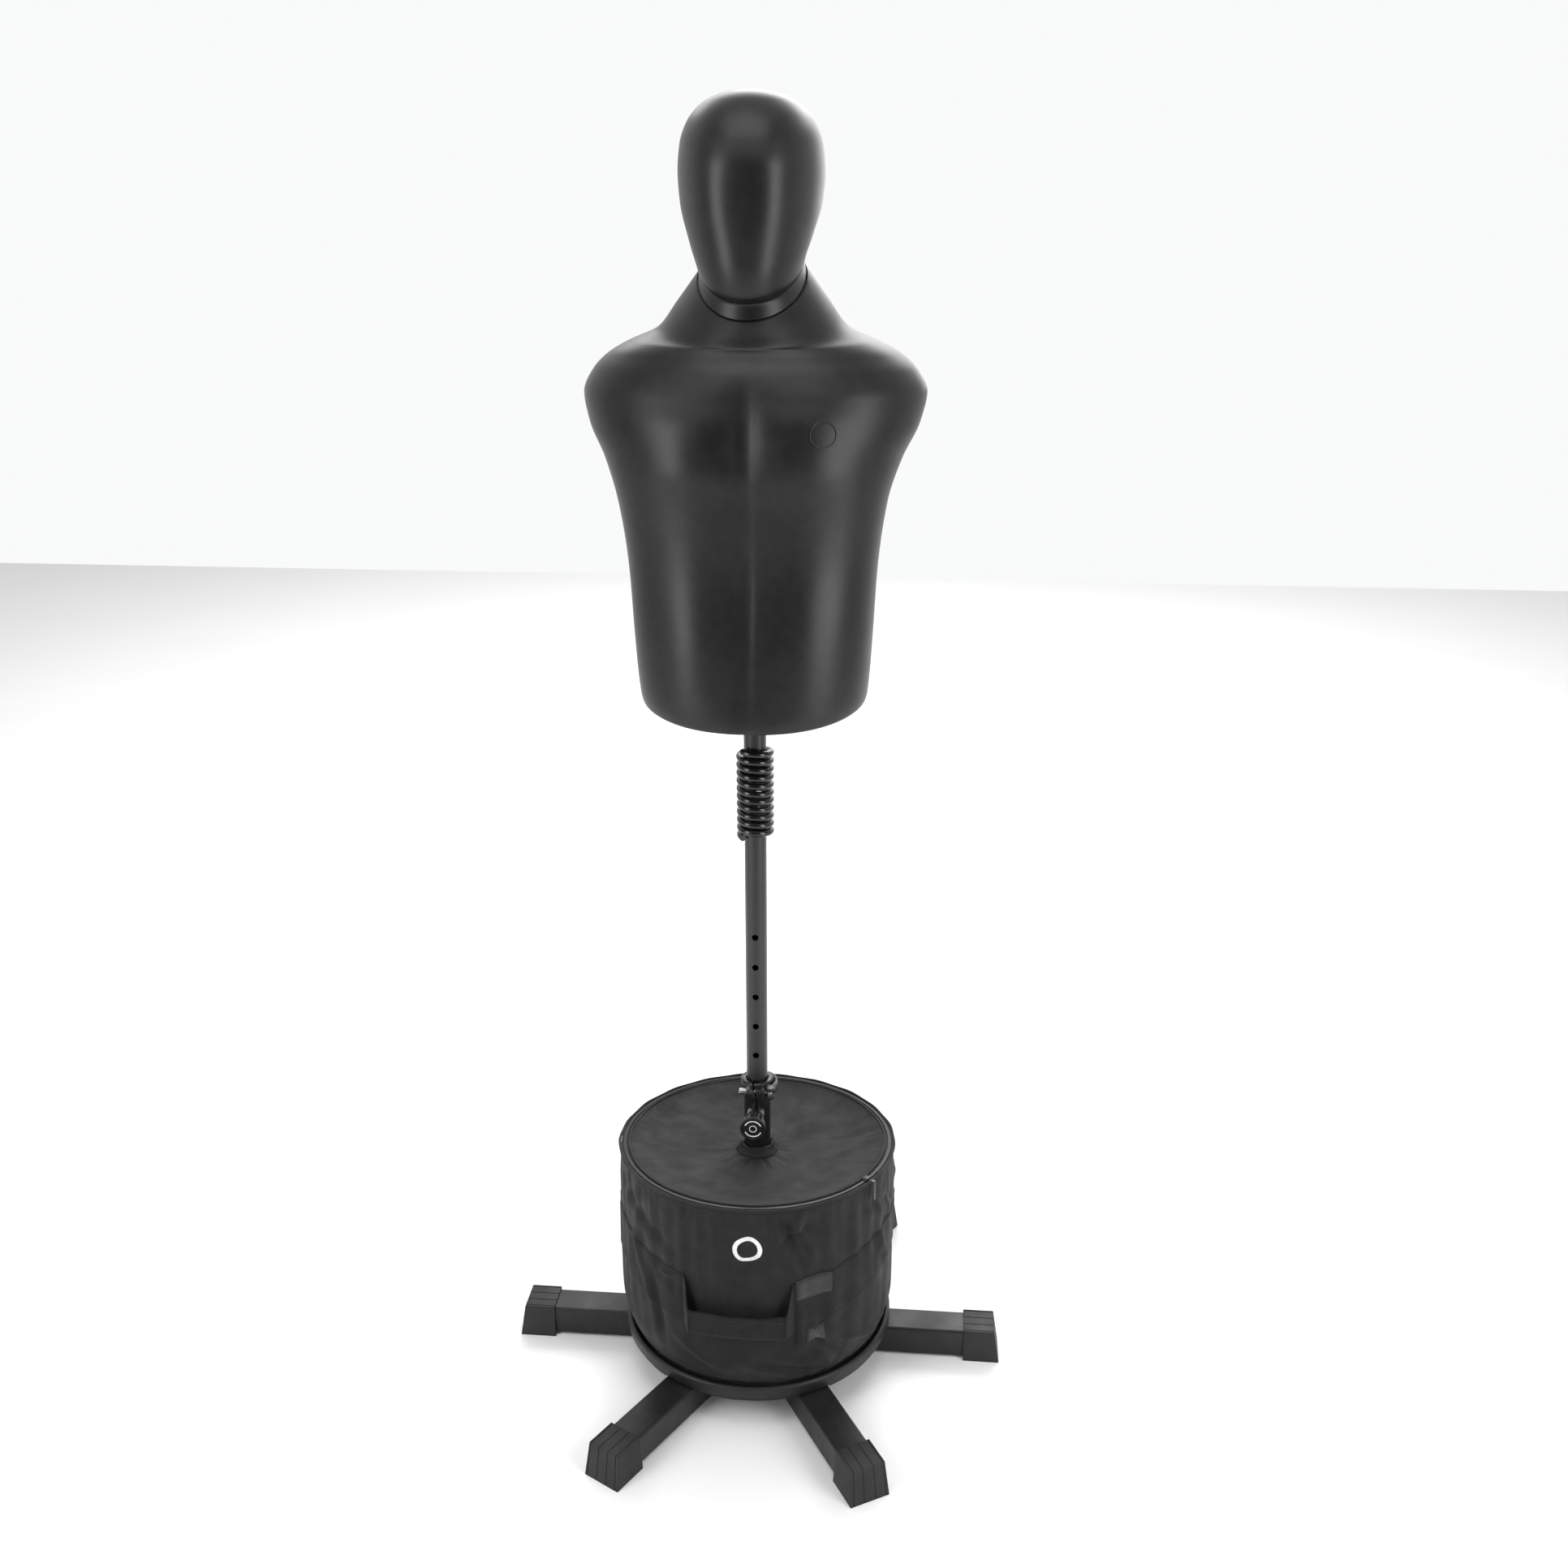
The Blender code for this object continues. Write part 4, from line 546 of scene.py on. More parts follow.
# %% Smooth interpolation
def smooth_line(places, values, wanted):
    """A monotone cubic through (places, values), read at the wanted places."""
    x, y = np.asarray(places, float), np.asarray(values, float)
    step, rise = np.diff(x), np.diff(y)
    slope = rise / step
    tangent = np.zeros_like(y)
    tangent[0], tangent[-1] = slope[0], slope[-1]
    for i in range(1, len(y) - 1):
        if slope[i - 1] * slope[i] > 0:
            a, b = 2 * step[i] + step[i - 1], step[i] + 2 * step[i - 1]
            tangent[i] = (a + b) / (a / slope[i - 1] + b / slope[i])
    w = np.asarray(wanted, float)
    k = np.clip(np.searchsorted(x, w, side="right") - 1, 0, len(step) - 1)
    t = (w - x[k]) / step[k]
    return ((2 * t**3 - 3 * t**2 + 1) * y[k] + (t**3 - 2 * t**2 + t) * step[k] * tangent[k]
            + (-2 * t**3 + 3 * t**2) * y[k + 1] + (t**3 - t**2) * step[k] * tangent[k + 1])


def lofted_levels(levels, rows):
    """Levels spread evenly along the body's side, from a few given ones."""
    table = np.array(levels, float)
    side = np.hypot(np.diff(table[:, 0]), np.diff(table[:, 1]))
    front = np.hypot(np.diff(table[:, 0]), np.diff(table[:, 2]))
    along = np.concatenate(([0], np.cumsum(np.maximum(side, front))))
    wanted = np.linspace(0, along[-1], rows)
    return np.stack([smooth_line(along, table[:, c], wanted) for c in range(table.shape[1])], 1)


def body_ring(level, sides):
    """Points round one level: a rounded shape, deeper or shallower at front and back."""
    height, half, front, back, square, rise, middle = level
    turn = np.linspace(0, 2 * math.pi, sides, endpoint=False)
    c, s = np.cos(turn), np.sin(turn)
    x = np.sign(c) * np.abs(c) ** (2 / square) * half
    reach = np.where(s > 0, back - middle, front + middle)
    y = middle + np.sign(s) * np.abs(s) ** (2 / square) * reach
    return np.stack([x, y, height + rise * y], 1)


def swell(points, centre, size, amount):
    """A soft mound or hollow: how far each point goes towards the front."""
    d = (points - np.array(centre)) / np.array(size)
    return amount * np.exp(-(d**2).sum(1))


print("loft helpers ready")

# %% [markdown]
# ## The torso
# The torso is one hollow moulding: stumps for arms, a slanted trapezius up to the neck, a shallow
# groove down the breastbone and a rounded lower rim. The levels follow the mechanical model's, with
# a fuller lower rim and a longer slope over the shoulders. Mounds and hollows are laid over them:
# the chest, the groove, the hollow under the neck and the shoulder blades. A skin like this is
# stiff and follows its mould, so it is shaped from given sizes and not simulated.

# %% Torso sizes
# height at the mast, half-width, reach to the front, reach to the back, squareness, rise towards
# the back and how far behind the mast the outline is widest
TORSO_LEVELS = (
    (1.0820, 0.1440, 0.1125, 0.0990, 2.1, 0.18, 0.000),
    (1.0835, 0.1505, 0.1190, 0.1045, 2.1, 0.19, 0.000),
    (1.0885, 0.1560, 0.1235, 0.1085, 2.1, 0.20, 0.000),
    (1.1080, 0.1585, 0.1250, 0.1100, 2.2, 0.22, 0.000),
    (1.1700, 0.1625, 0.1210, 0.1070, 2.4, 0.06, 0.000),
    (1.2600, 0.1670, 0.1150, 0.1030, 2.5, 0.00, 0.000),
    (1.3570, 0.1795, 0.1230, 0.1070, 2.5, 0.00, 0.000),
    (1.4100, 0.1970, 0.1290, 0.1130, 2.4, 0.00, 0.015),
    (1.4550, 0.2190, 0.1270, 0.1170, 2.3, 0.00, 0.030),
    (1.4920, 0.2270, 0.1160, 0.1160, 2.2, 0.00, 0.035),
    (1.5200, 0.2140, 0.1045, 0.1095, 2.1, 0.00, 0.031),
    (1.5400, 0.1930, 0.0955, 0.1000, 2.0, 0.02, 0.026),
    (1.5560, 0.1620, 0.0895, 0.0900, 2.0, 0.08, 0.016),
    (1.5700, 0.1260, 0.0870, 0.0800, 2.0, 0.20, 0.010),
    (1.6000, 0.0990, 0.0815, 0.0725, 2.0, 0.44, 0.007),
    (1.6330, 0.0710, 0.0730, 0.0640, 2.0, 0.68, 0.004),
)
TORSO_ROWS = 150
TORSO_SIDES = 192
NECK_LIP = 0.012
SOCKET_HOLE = 0.0234
CHEST_MOUNDS = (
    # centre, spread, how far it stands out (negative: a hollow)
    ((0.082, -0.12, 1.425), (0.062, 0.09, 0.060), 0.0085),
    ((-0.082, -0.12, 1.425), (0.062, 0.09, 0.060), 0.0085),
    ((0.0, -0.13, 1.455), (0.020, 0.09, 0.065), -0.0060),
    ((0.0, -0.12, 1.545), (0.038, 0.06, 0.020), -0.0050),
    ((0.0, -0.13, 1.26), (0.0085, 0.09, 0.17), -0.0042),
    ((0.073, -0.12, 1.22), (0.042, 0.09, 0.14), 0.0048),
    ((-0.073, -0.12, 1.22), (0.042, 0.09, 0.14), 0.0048),
    ((0.0, -0.13, 1.10), (0.10, 0.09, 0.05), -0.0015),
)
BACK_MOUNDS = (
    ((0.090, 0.11, 1.44), (0.050, 0.09, 0.065), 0.0065),
    ((-0.090, 0.11, 1.44), (0.050, 0.09, 0.065), 0.0065),
    ((0.0, 0.11, 1.34), (0.012, 0.09, 0.20), -0.0045),
)


# %% Torso surface
def torso_rings():
    """Rings from the socket's hole, out under the torso, up its side and in at the neck."""
    levels = lofted_levels(TORSO_LEVELS, TORSO_ROWS)
    rings = [body_ring(level, TORSO_SIDES) for level in levels]
    for ring in rings:
        forward = sum(swell(ring, *mound) for mound in CHEST_MOUNDS)
        backward = sum(swell(ring, *mound) for mound in BACK_MOUNDS)
        ring[:, 1] += np.where(ring[:, 1] < 0, -forward, backward)
    under = TORSO_LEVELS[0][0]
    hole = np.array(level_ring(SOCKET_HOLE, under, TORSO_SIDES))
    sleeve = np.array(level_ring(SOCKET_HOLE, under + 0.020, TORSO_SIDES))
    middle = 0.5 * (hole + rings[0])
    neck = TORSO_LEVELS[-1]
    lip = (neck[0] - 0.0015, neck[1] - 0.004, neck[2] - 0.004, neck[3] - 0.004, *neck[4:])
    inside = (neck[0] - 0.004, neck[1] - NECK_LIP, neck[2] - NECK_LIP, neck[3] - NECK_LIP, *neck[4:])
    return [sleeve, hole, middle, *rings, body_ring(lip, TORSO_SIDES), body_ring(inside, TORSO_SIDES)]


torso = ringed("torso", torso_rings(), SKIN)
crisp(torso, 60)
torso_tree = surface_of(torso)
fit(torso, "torso", "body_skin", "torso_skin", "torso_core")
print("torso:", len(torso.data.vertices), "points")

# %% [markdown]
# A plain raised ring stands on the left of the chest, as a target. It is draped on the skin by
# dropping each of its points straight onto the torso, which keeps its edge an even height.

# %% Chest ring
CHEST_RING_PLACE = (0.100, 1.452)
CHEST_RING_RADII = (0.0175, 0.0150)
CHEST_RING_RISE = 0.0009


def on_chest(x, z, lift):
    """The point of the chest straight behind (x, z), lifted off the skin."""
    hit, normal, _, _ = torso_tree.ray_cast(Vector((x, -1, z)), Vector((0, 1, 0)))
    return hit + normal * lift


def chest_ring():
    """A low rounded ring pressed out of the skin."""
    outer, inner = CHEST_RING_RADII
    section = ((outer, -0.001), (outer - 0.0004, CHEST_RING_RISE * 0.8), (outer - 0.0010, CHEST_RING_RISE),
               (inner + 0.0006, CHEST_RING_RISE), (inner + 0.0002, CHEST_RING_RISE * 0.8), (inner, -0.001))
    rings = []
    x, z = CHEST_RING_PLACE
    for a in angles(72):
        rings.append([on_chest(x + r * math.cos(a), z + r * math.sin(a), h) for r, h in section])
    return ringed("chest_ring", rings, SKIN, loop=True)


fit(chest_ring(), "torso", "body_skin")
print("chest ring", CHEST_RING_RADII[0] * 2000, "mm across")

# %% [markdown]
# ## The head
# A smooth egg with no features: a high crown, a slightly flattened face and a chin that
# overhangs the neck. It slides into the torso's neck, so its lower edge is a clean seam.

# %% Head sizes
HEAD_LEVELS = (
    (1.6333, 0.0690, 0.0710, 0.0620, 2.0, 0.68, 0.004),
    (1.6473, 0.0670, 0.0700, 0.0630, 2.0, 0.66, 0.004),
    (1.6643, 0.0700, 0.0960, 0.0770, 2.1, 0.55, 0.006),
    (1.6883, 0.0790, 0.1100, 0.0900, 2.1, 0.34, 0.008),
    (1.7253, 0.0895, 0.1160, 0.1000, 2.1, 0.12, 0.010),
    (1.7583, 0.0922, 0.1150, 0.1040, 2.1, 0.00, 0.012),
    (1.7903, 0.0895, 0.1070, 0.1010, 2.1, 0.00, 0.012),
    (1.8183, 0.0790, 0.0910, 0.0890, 2.1, 0.00, 0.010),
    (1.8403, 0.0570, 0.0660, 0.0650, 2.0, 0.00, 0.006),
    (1.8490, 0.0350, 0.0410, 0.0400, 2.0, 0.00, 0.003),
    (1.8524, 0.0150, 0.0170, 0.0170, 2.0, 0.00, 0.001),
    (1.8528, 0.0020, 0.0020, 0.0020, 2.0, 0.00, 0.000),
)
HEAD_ROWS = 110
HEAD_SIDES = 128
FACE_MOUNDS = (
    ((0.045, -0.11, 1.735), (0.030, 0.08, 0.045), 0.0030),
    ((-0.045, -0.11, 1.735), (0.030, 0.08, 0.045), 0.0030),
    ((0.0, -0.11, 1.70), (0.022, 0.08, 0.045), -0.0012),
)


# %% Head surface
def head_rings():
    """Rings from inside the neck, over its edge and up to the crown."""
    rings = [body_ring(level, HEAD_SIDES) for level in lofted_levels(HEAD_LEVELS, HEAD_ROWS)]
    for ring in rings:
        ring[:, 1] -= np.where(ring[:, 1] < 0, sum(swell(ring, *mound) for mound in FACE_MOUNDS), 0)
    low = HEAD_LEVELS[0]
    foot = [(low[0] + lift, low[1] - into, low[2] - into, low[3] - into, *low[4:])
            for lift, into in ((0.003, 0.012), (0.0, 0.010), (0.0002, 0.0012))]
    return [*[body_ring(level, HEAD_SIDES) for level in foot], *rings]


head = ringed("head", head_rings(), SKIN)
crisp(head, 60)
fit(head, "torso", "body_skin", "head_skin", "head_core")
print("head:", len(head.data.vertices), "points")

# %% [markdown]
# ## The coil spring, with Geometry Nodes
# A coil follows a rule, so it is a job for nodes: a spiral of so many turns, a circle swept along
# it, and its ends filled. The spring bends about two crossed axes at its middle. It is made as two
# halves that meet there.

# %% Spring tree
SPRING_LOW, SPRING_HIGH = (corner.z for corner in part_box("coil_spring"))
SPRING_REACH = 0.027
SPRING_WIRE = 0.010
SPRING_TURNS = 10.94
SPRING_FIRST_TURN = math.radians(223.0)


def tree_with(name, *inputs):
    """An empty geometry tree with named number inputs, and its input and output nodes."""
    tree = bpy.data.node_groups.new(name, "GeometryNodeTree")
    tree.interface.new_socket("Geometry", in_out="INPUT", socket_type="NodeSocketGeometry")
    for label, default in inputs:
        kind = "NodeSocketInt" if isinstance(default, int) else "NodeSocketFloat"
        socket = tree.interface.new_socket(label, in_out="INPUT", socket_type=kind)
        socket.default_value = default
    tree.interface.new_socket("Geometry", in_out="OUTPUT", socket_type="NodeSocketGeometry")
    return tree, tree.nodes.new("NodeGroupInput"), tree.nodes.new("NodeGroupOutput")


def finish_tree(tree, geometry, end, mat):
    """Close a tree with Realize Instances and Set Material."""
    realize = tree.nodes.new("GeometryNodeRealizeInstances")
    paint = tree.nodes.new("GeometryNodeSetMaterial")
    paint.inputs["Material"].default_value = mat
    tree.links.new(geometry, realize.inputs[0])
    tree.links.new(realize.outputs[0], paint.inputs[0])
    tree.links.new(paint.outputs[0], end.inputs[0])
    return tree


def grown(name, tree, start=None, **values):
    """Run a tree on a piece and keep the result as a plain mesh."""
    obj = start or linked(bpy.data.objects.new(name, bpy.data.meshes.new(name)))
    modifier = obj.modifiers.new(name, "NODES")
    modifier.node_group = tree
    for item in tree.interface.items_tree:
        if item.in_out == "INPUT" and item.name in values:
            modifier[item.identifier] = values[item.name]
    return baked(obj)


def coil_tree():
    """A wire wound about Z, with flat cut ends."""
    tree, start, end = tree_with("coil", ("Turns", 5.0), ("Radius", 0.02), ("Height", 0.1), ("Wire", 0.005))
    spiral = tree.nodes.new("GeometryNodeCurveSpiral")
    spiral.inputs["Resolution"].default_value = 40
    for label, socket in (("Turns", "Rotations"), ("Radius", "Start Radius"), ("Radius", "End Radius"),
                          ("Height", "Height")):
        tree.links.new(start.outputs[label], spiral.inputs[socket])
    section = tree.nodes.new("GeometryNodeCurvePrimitiveCircle")
    section.inputs["Resolution"].default_value = 20
    tree.links.new(start.outputs["Wire"], section.inputs["Radius"])
    sweep = tree.nodes.new("GeometryNodeCurveToMesh")
    sweep.inputs["Fill Caps"].default_value = True
    tree.links.new(spiral.outputs[0], sweep.inputs["Curve"])
    tree.links.new(section.outputs[0], sweep.inputs["Profile Curve"])
    return finish_tree(tree, sweep.outputs[0], end, SPRING_PAINT)


# %% Two halves of the spring
COIL = coil_tree()
coil_rise = (SPRING_HIGH - SPRING_LOW - SPRING_WIRE) / 2
coil_middle = SPRING_LOW + SPRING_WIRE / 2 + coil_rise
MAST_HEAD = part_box("mast_tube")[1].z
POST_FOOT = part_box("upper_post")[0].z


def spring_half(name, bottom, first_turn):
    """Half of the spring's turns, placed at its height and its angle."""
    half = grown(name, COIL, Turns=SPRING_TURNS / 2, Radius=SPRING_REACH - SPRING_WIRE / 2,
                 Height=coil_rise, Wire=SPRING_WIRE / 2)
    half.data.transform(Matrix.Translation((0, 0, bottom)) @ Matrix.Rotation(first_turn, 4, "Z"))
    outwards(half)
    crisp(half, 50)
    return half


lower_coil = spring_half("coil_lower", coil_middle - coil_rise, SPRING_FIRST_TURN)
upper_coil = spring_half("coil_upper", coil_middle, SPRING_FIRST_TURN + math.pi * SPRING_TURNS)
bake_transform(lower_coil)
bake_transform(upper_coil)
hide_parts("coil_spring")
print("spring:", SPRING_TURNS, "turns in", round((SPRING_HIGH - SPRING_LOW) * 1000), "mm")

# %% [markdown]
# ## Tubes
# The mast and the outer tube are drawn steel tube. The mast has a row of holes at one pitch up
# its front, and each hole's wall is bare metal, which is what catches the light. The holes are cut
# by solids that carry that bare finish with them.

# %% Mast and outer tube
MAST_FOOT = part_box("mast_tube")[0].z
MAST_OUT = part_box("mast_tube")[1].x
MAST_WALL = 0.002
MAST_IN = MAST_OUT - MAST_WALL
OUTER_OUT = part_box("outer_tube")[1].x
OUTER_WALL = 0.0018
OUTER_FOOT, OUTER_HEAD = (corner.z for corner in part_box("outer_tube"))
KNOB_MIDDLE = next(j for j in frame["joints"] if j["name"] == "knob_turn")["pos_m"][2]
HOLE_PITCH = 0.0486
HOLE_RADIUS = 0.0048
HOLE_NUMBERS = range(-1, 7)


def faced_front(obj, height):
    """Turn a piece drawn about +Z to point at the front at a height."""
    obj.data.transform(Matrix.Translation((0, 0, height)) @ Matrix.Rotation(math.radians(90), 4, "X"))
    return obj


def front_rod(name, radius, near, far, height, mat, sides=32):
    """A round solid that points to the front, used as a cutter."""
    return faced_front(turned(name, ((radius, near), (radius, far)), mat, sides), height)


def tube(name, outer, inner, low, high, mat, edge=0.0005, sides=72):
    """A round tube with its edges just broken."""
    return turned(name, (
        (outer, low + edge), (outer, high - edge), (outer - edge, high), (inner, high), (inner, low),
        (outer - edge, low),
    ), mat, sides, hollow=True)


mast = tube("mast", MAST_OUT, MAST_IN, MAST_FOOT, MAST_HEAD, POST_PAINT)
cut(mast, *[front_rod("hole", HOLE_RADIUS, 0, MAST_OUT + 0.01, KNOB_MIDDLE + k * HOLE_PITCH, ZINC)
            for k in HOLE_NUMBERS], take_material=True)
crisp(mast, 38)
fit(mast, "mast", "post_steel", "mast_tube")
outer = tube("outer_post", OUTER_OUT, OUTER_OUT - OUTER_WALL, OUTER_FOOT, OUTER_HEAD, POST_PAINT)
fit(outer, "base", "post_steel", "outer_tube")
post = tube("post", MAST_OUT, MAST_IN, POST_FOOT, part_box("upper_post")[1].z, POST_PAINT)
fit(post, "torso", "post_steel", "upper_post")
print("mast:", len(HOLE_NUMBERS), "holes every", HOLE_PITCH * 1000, "mm")

# %% [markdown]
# ## Clamp and locking knob
# These small castings already have their true shape in the mechanical model. Their flat triangles
# are joined into faces again and every edge is rounded, because a rounded edge is what makes a
# small part look cast and not cut from card.

# %% Clamp parts
SOFT_PARTS = (
    # mechanical node, piece, body, finish, slot, rounding
    ("clamp_collar", "collar", "base", ANODISED, "clamp_metal", 0.0007),
    ("clamp_lever", "lever_arm", "lever", ANODISED, "clamp_metal", 0.0008),
    ("clamp_nut", "thumb_nut", "nut", ZINC, "clamp_metal", 0.0005),
    ("clamp_pivot", "lever_pin", "base", ZINC, "bare_steel", 0.0004),
    ("pin_barrel", "threaded_boss", "base", POST_PAINT, "post_steel", 0.0006),
    ("zip_slider", "slider_body", "slider", ANODISED, "clamp_metal", 0.0006),
    ("zip_pull", "slider_tab", "pull_tab", ANODISED, "clamp_metal", 0.0005),
)
for node, name, body, finish, slot_name, width in SOFT_PARTS:
    fit(softened(node, name, finish, width), body, slot_name, node)
    print(name, "stands for", node)

# %% [markdown]
# The knob screws the locking pin in and out, so it is fluted for wet hands and hollow behind,
# where it slides over the boss. Its front plate carries two plain raised arcs and a small ring.

# %% Knob
KNOB_LOW, KNOB_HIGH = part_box("pull_knob")
KNOB_SMALL = 0.0150
KNOB_LARGE = 0.0195
KNOB_FLUTES = 10
KNOB_POINTS = 200
BOSS_NOSE = 0.0115
KNOB_SECTIONS = (
    # share of the knob's length, depth of the grooves, scale
    (0.00, 0.045, 0.93), (0.05, 0.09, 1.0), (0.20, 0.17, 1.0), (0.55, 0.17, 1.0), (0.82, 0.11, 1.0),
    (0.94, 0.03, 1.0), (0.985, 0.0, 1.0), (1.0, 0.0, 0.985),
)


def to_the_front(point):
    """A point drawn about +Z, turned to point at the front at the knob's height."""
    x, y, out = point
    return (x, -out, KNOB_MIDDLE + y)


def knob_ring(share, depth, scale):
    """One section of the knob: flat-topped ribs with round grooves between them."""
    radius = (KNOB_SMALL + (KNOB_LARGE - KNOB_SMALL) * share ** 0.8) * scale
    ring = []
    for a in angles(KNOB_POINTS):
        groove = (0.5 - 0.5 * math.cos(KNOB_FLUTES * a)) ** 2.2
        r = radius * (1 - depth * groove)
        ring.append((r * math.cos(a), r * math.sin(a), -KNOB_HIGH.y + share * (KNOB_HIGH.y - KNOB_LOW.y)))
    return ring


knob_back = -KNOB_HIGH.y
knob_rings = [level_ring(BOSS_NOSE, knob_back + depth, KNOB_POINTS) for depth in (0.009, 0.0)]
knob_rings += [knob_ring(*section) for section in KNOB_SECTIONS]
knob = ringed("knob_body", [[to_the_front(p) for p in ring] for ring in knob_rings], KNOB_PLASTIC)
fit(knob, "knob", "knob_plastic", "pull_knob")

PLATE_LOW, PLATE_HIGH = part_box("knob_disc")
plate_back, plate_front = -PLATE_HIGH.y, -PLATE_LOW.y
PLATE_DISH = 0.0010
plate = turned("knob_plate", (
    (KNOB_LARGE, plate_back), (KNOB_LARGE, plate_front - 0.0012),
    (KNOB_LARGE - 0.0006, plate_front - 0.0003), (KNOB_LARGE - 0.0014, plate_front),
    (KNOB_LARGE - 0.0026, plate_front), (KNOB_LARGE - 0.0032, plate_front - PLATE_DISH),
    (0.0004, plate_front - PLATE_DISH),
), KNOB_PLASTIC)
fit(faced_front(plate, KNOB_MIDDLE), "knob", "knob_plastic", "knob_disc")


def raised_arc(radius, first, last, wide, out, lift, steps=24):
    """A low bar along an arc on the knob's front plate."""
    rings = []
    for i in range(steps + 1):
        a = math.radians(first + (last - first) * i / steps)
        section = ((radius - wide / 2, out), (radius - wide / 2, out + lift),
                   (radius + wide / 2, out + lift), (radius + wide / 2, out))
        rings.append([to_the_front((r * math.cos(a), r * math.sin(a), o)) for r, o in section])
    return rings


KNOB_MARKS = (
    # radius, first and last angle, width
    (0.0128, 25, 155, 0.0016), (0.0128, 205, 335, 0.0016), (0.0052, 0, 360, 0.0010),
)
mark_foot = plate_front - PLATE_DISH - 0.0002
for i, arc in enumerate(KNOB_MARKS):
    fit(ringed(f"knob_mark_{i}", raised_arc(*arc, mark_foot, 0.0007), PRINT), "knob", "knob_plastic")
print("knob:", KNOB_FLUTES, "flutes")

# %% [markdown]
# ## Legs and their moulded caps
# A leg is square steel tube, and its corners are rolled, not sharp. The caps are moulded in one
# piece: they sleeve over the leg, flare to the floor, and have four shallow grooves that run along
# the top and down the nose. One cap is cut, and the other five are copies turned about the mast.

# %% Legs
LEG_LOW, LEG_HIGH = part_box("leg_2")
LEG_ANGLES = [math.radians(-60 + 60 * i) for i in range(6)]
LEG_CORNER = 0.0042
LEG_WALL = 0.002


def round_cornered(half_width, low, high, corner, steps=6):
    """Points of a rounded rectangle in the Y-Z plane."""
    points = []
    middle, half_height = (low + high) / 2, (high - low) / 2
    for sy, sz, start in ((1, 1, 0), (-1, 1, 90), (-1, -1, 180), (1, -1, 270)):
        for k in range(steps + 1):
            a = math.radians(start + 90 * k / steps)
            points.append((sy * (half_width - corner) + corner * math.cos(a),
                           middle + sz * (half_height - corner) + corner * math.sin(a)))
    return points


def square_tube(name, near, far, half_width, low, high, wall, mat):
    """Rolled square tube along +X, open at both ends."""
    outside = round_cornered(half_width, low, high, LEG_CORNER)
    inside = round_cornered(half_width - wall, low + wall, high - wall, LEG_CORNER - wall)
    rings = [[(near, y, z) for y, z in outside], [(far, y, z) for y, z in outside],
             [(far, y, z) for y, z in inside], [(near, y, z) for y, z in inside]]
    return ringed(name, rings, mat, loop=True)


for number, turn in enumerate(LEG_ANGLES, 1):
    leg = square_tube(f"leg_tube_{number}", LEG_LOW.x, LEG_HIGH.x, LEG_HIGH.y, LEG_LOW.z, LEG_HIGH.z,
                      LEG_WALL, COAT)
    leg.data.transform(Matrix.Rotation(turn, 4, "Z"))
    fit(leg, "base", "leg_steel", f"leg_{number}")
print("legs:", len(LEG_ANGLES), "of", round((LEG_HIGH.x - LEG_LOW.x) * 1000), "mm")

# %% Caps
CAP_LOW, CAP_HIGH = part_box("leg_cap_2")
CAP_NOSE_SLOPE = 0.0086
CAP_FLARE = 0.0040
CAP_NOSE_TOP = CAP_HIGH.x - CAP_NOSE_SLOPE
CAP_HALF = CAP_HIGH.y - CAP_FLARE
CAP_GROOVES = (-0.86, -0.30, 0.30, 0.86)
GROOVE_WIDE = 0.0013
GROOVE_DEEP = 0.0009


def groove_cutter(share):
    """A thin bar along the top of the cap and down its nose."""
    flare = 1 + CAP_FLARE / CAP_HALF
    stations = ((CAP_LOW.x - 0.01, CAP_HIGH.z, 0, 1, 1.0), (CAP_NOSE_TOP, CAP_HIGH.z, 0.6, 0.8, 1.0),
                (CAP_HIGH.x + 0.0018, -0.01, 0.98, 0.2, flare))
    rings = []
    for x, z, out_x, out_z, wider in stations:
        y = share * CAP_HALF * wider
        ring = []
        for side, depth in ((-1, -GROOVE_DEEP), (1, -GROOVE_DEEP), (1.6, 0.004), (-1.6, 0.004)):
            ring.append((x + out_x * depth, y + side * GROOVE_WIDE / 2, z + out_z * depth))
        rings.append(ring)
    return ringed("groove", rings, CAP_PLASTIC)


cap = softened("leg_cap_2", "leg_foot_2", CAP_PLASTIC, 0.0020, 4)
cut(cap, *[groove_cutter(share) for share in CAP_GROOVES])
crisp(cap, 38)
for number, turn in enumerate(LEG_ANGLES, 1):
    foot = cap
    if number != 2:
        foot = linked(bpy.data.objects.new(f"leg_foot_{number}", cap.data.copy()))
        foot.data.transform(Matrix.Rotation(turn, 4, "Z"))
    fit(foot, "base", "cap_plastic", f"leg_cap_{number}")
print("caps:", len(cap.data.polygons), "faces each")

# %% [markdown]
# ## The tray
# The tray is turned like a dish, with a rolled rim. Its skirt is notched where the legs pass
# under it, and the floor is holed for the outer tube and the leg bolts.

# %% Tray
TRAY_LOW, TRAY_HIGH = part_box("tray")
TRAY_ROUND = 0.210
TRAY_UNDER = LEG_HIGH.z + 0.0003
TRAY_FLOOR = 0.006
TRAY_SKIRT_WALL = 0.0045
TUBE_ROOM = 0.0003
TRAY_TOP = TRAY_UNDER + TRAY_FLOOR
TRAY_SKIRT = TRAY_ROUND - TRAY_SKIRT_WALL
BOLT_SHANK_ROOM = 0.0043
BOLT_HEAD_ROOM = 0.0073
BOLT_HEAD_TALL = 0.0033


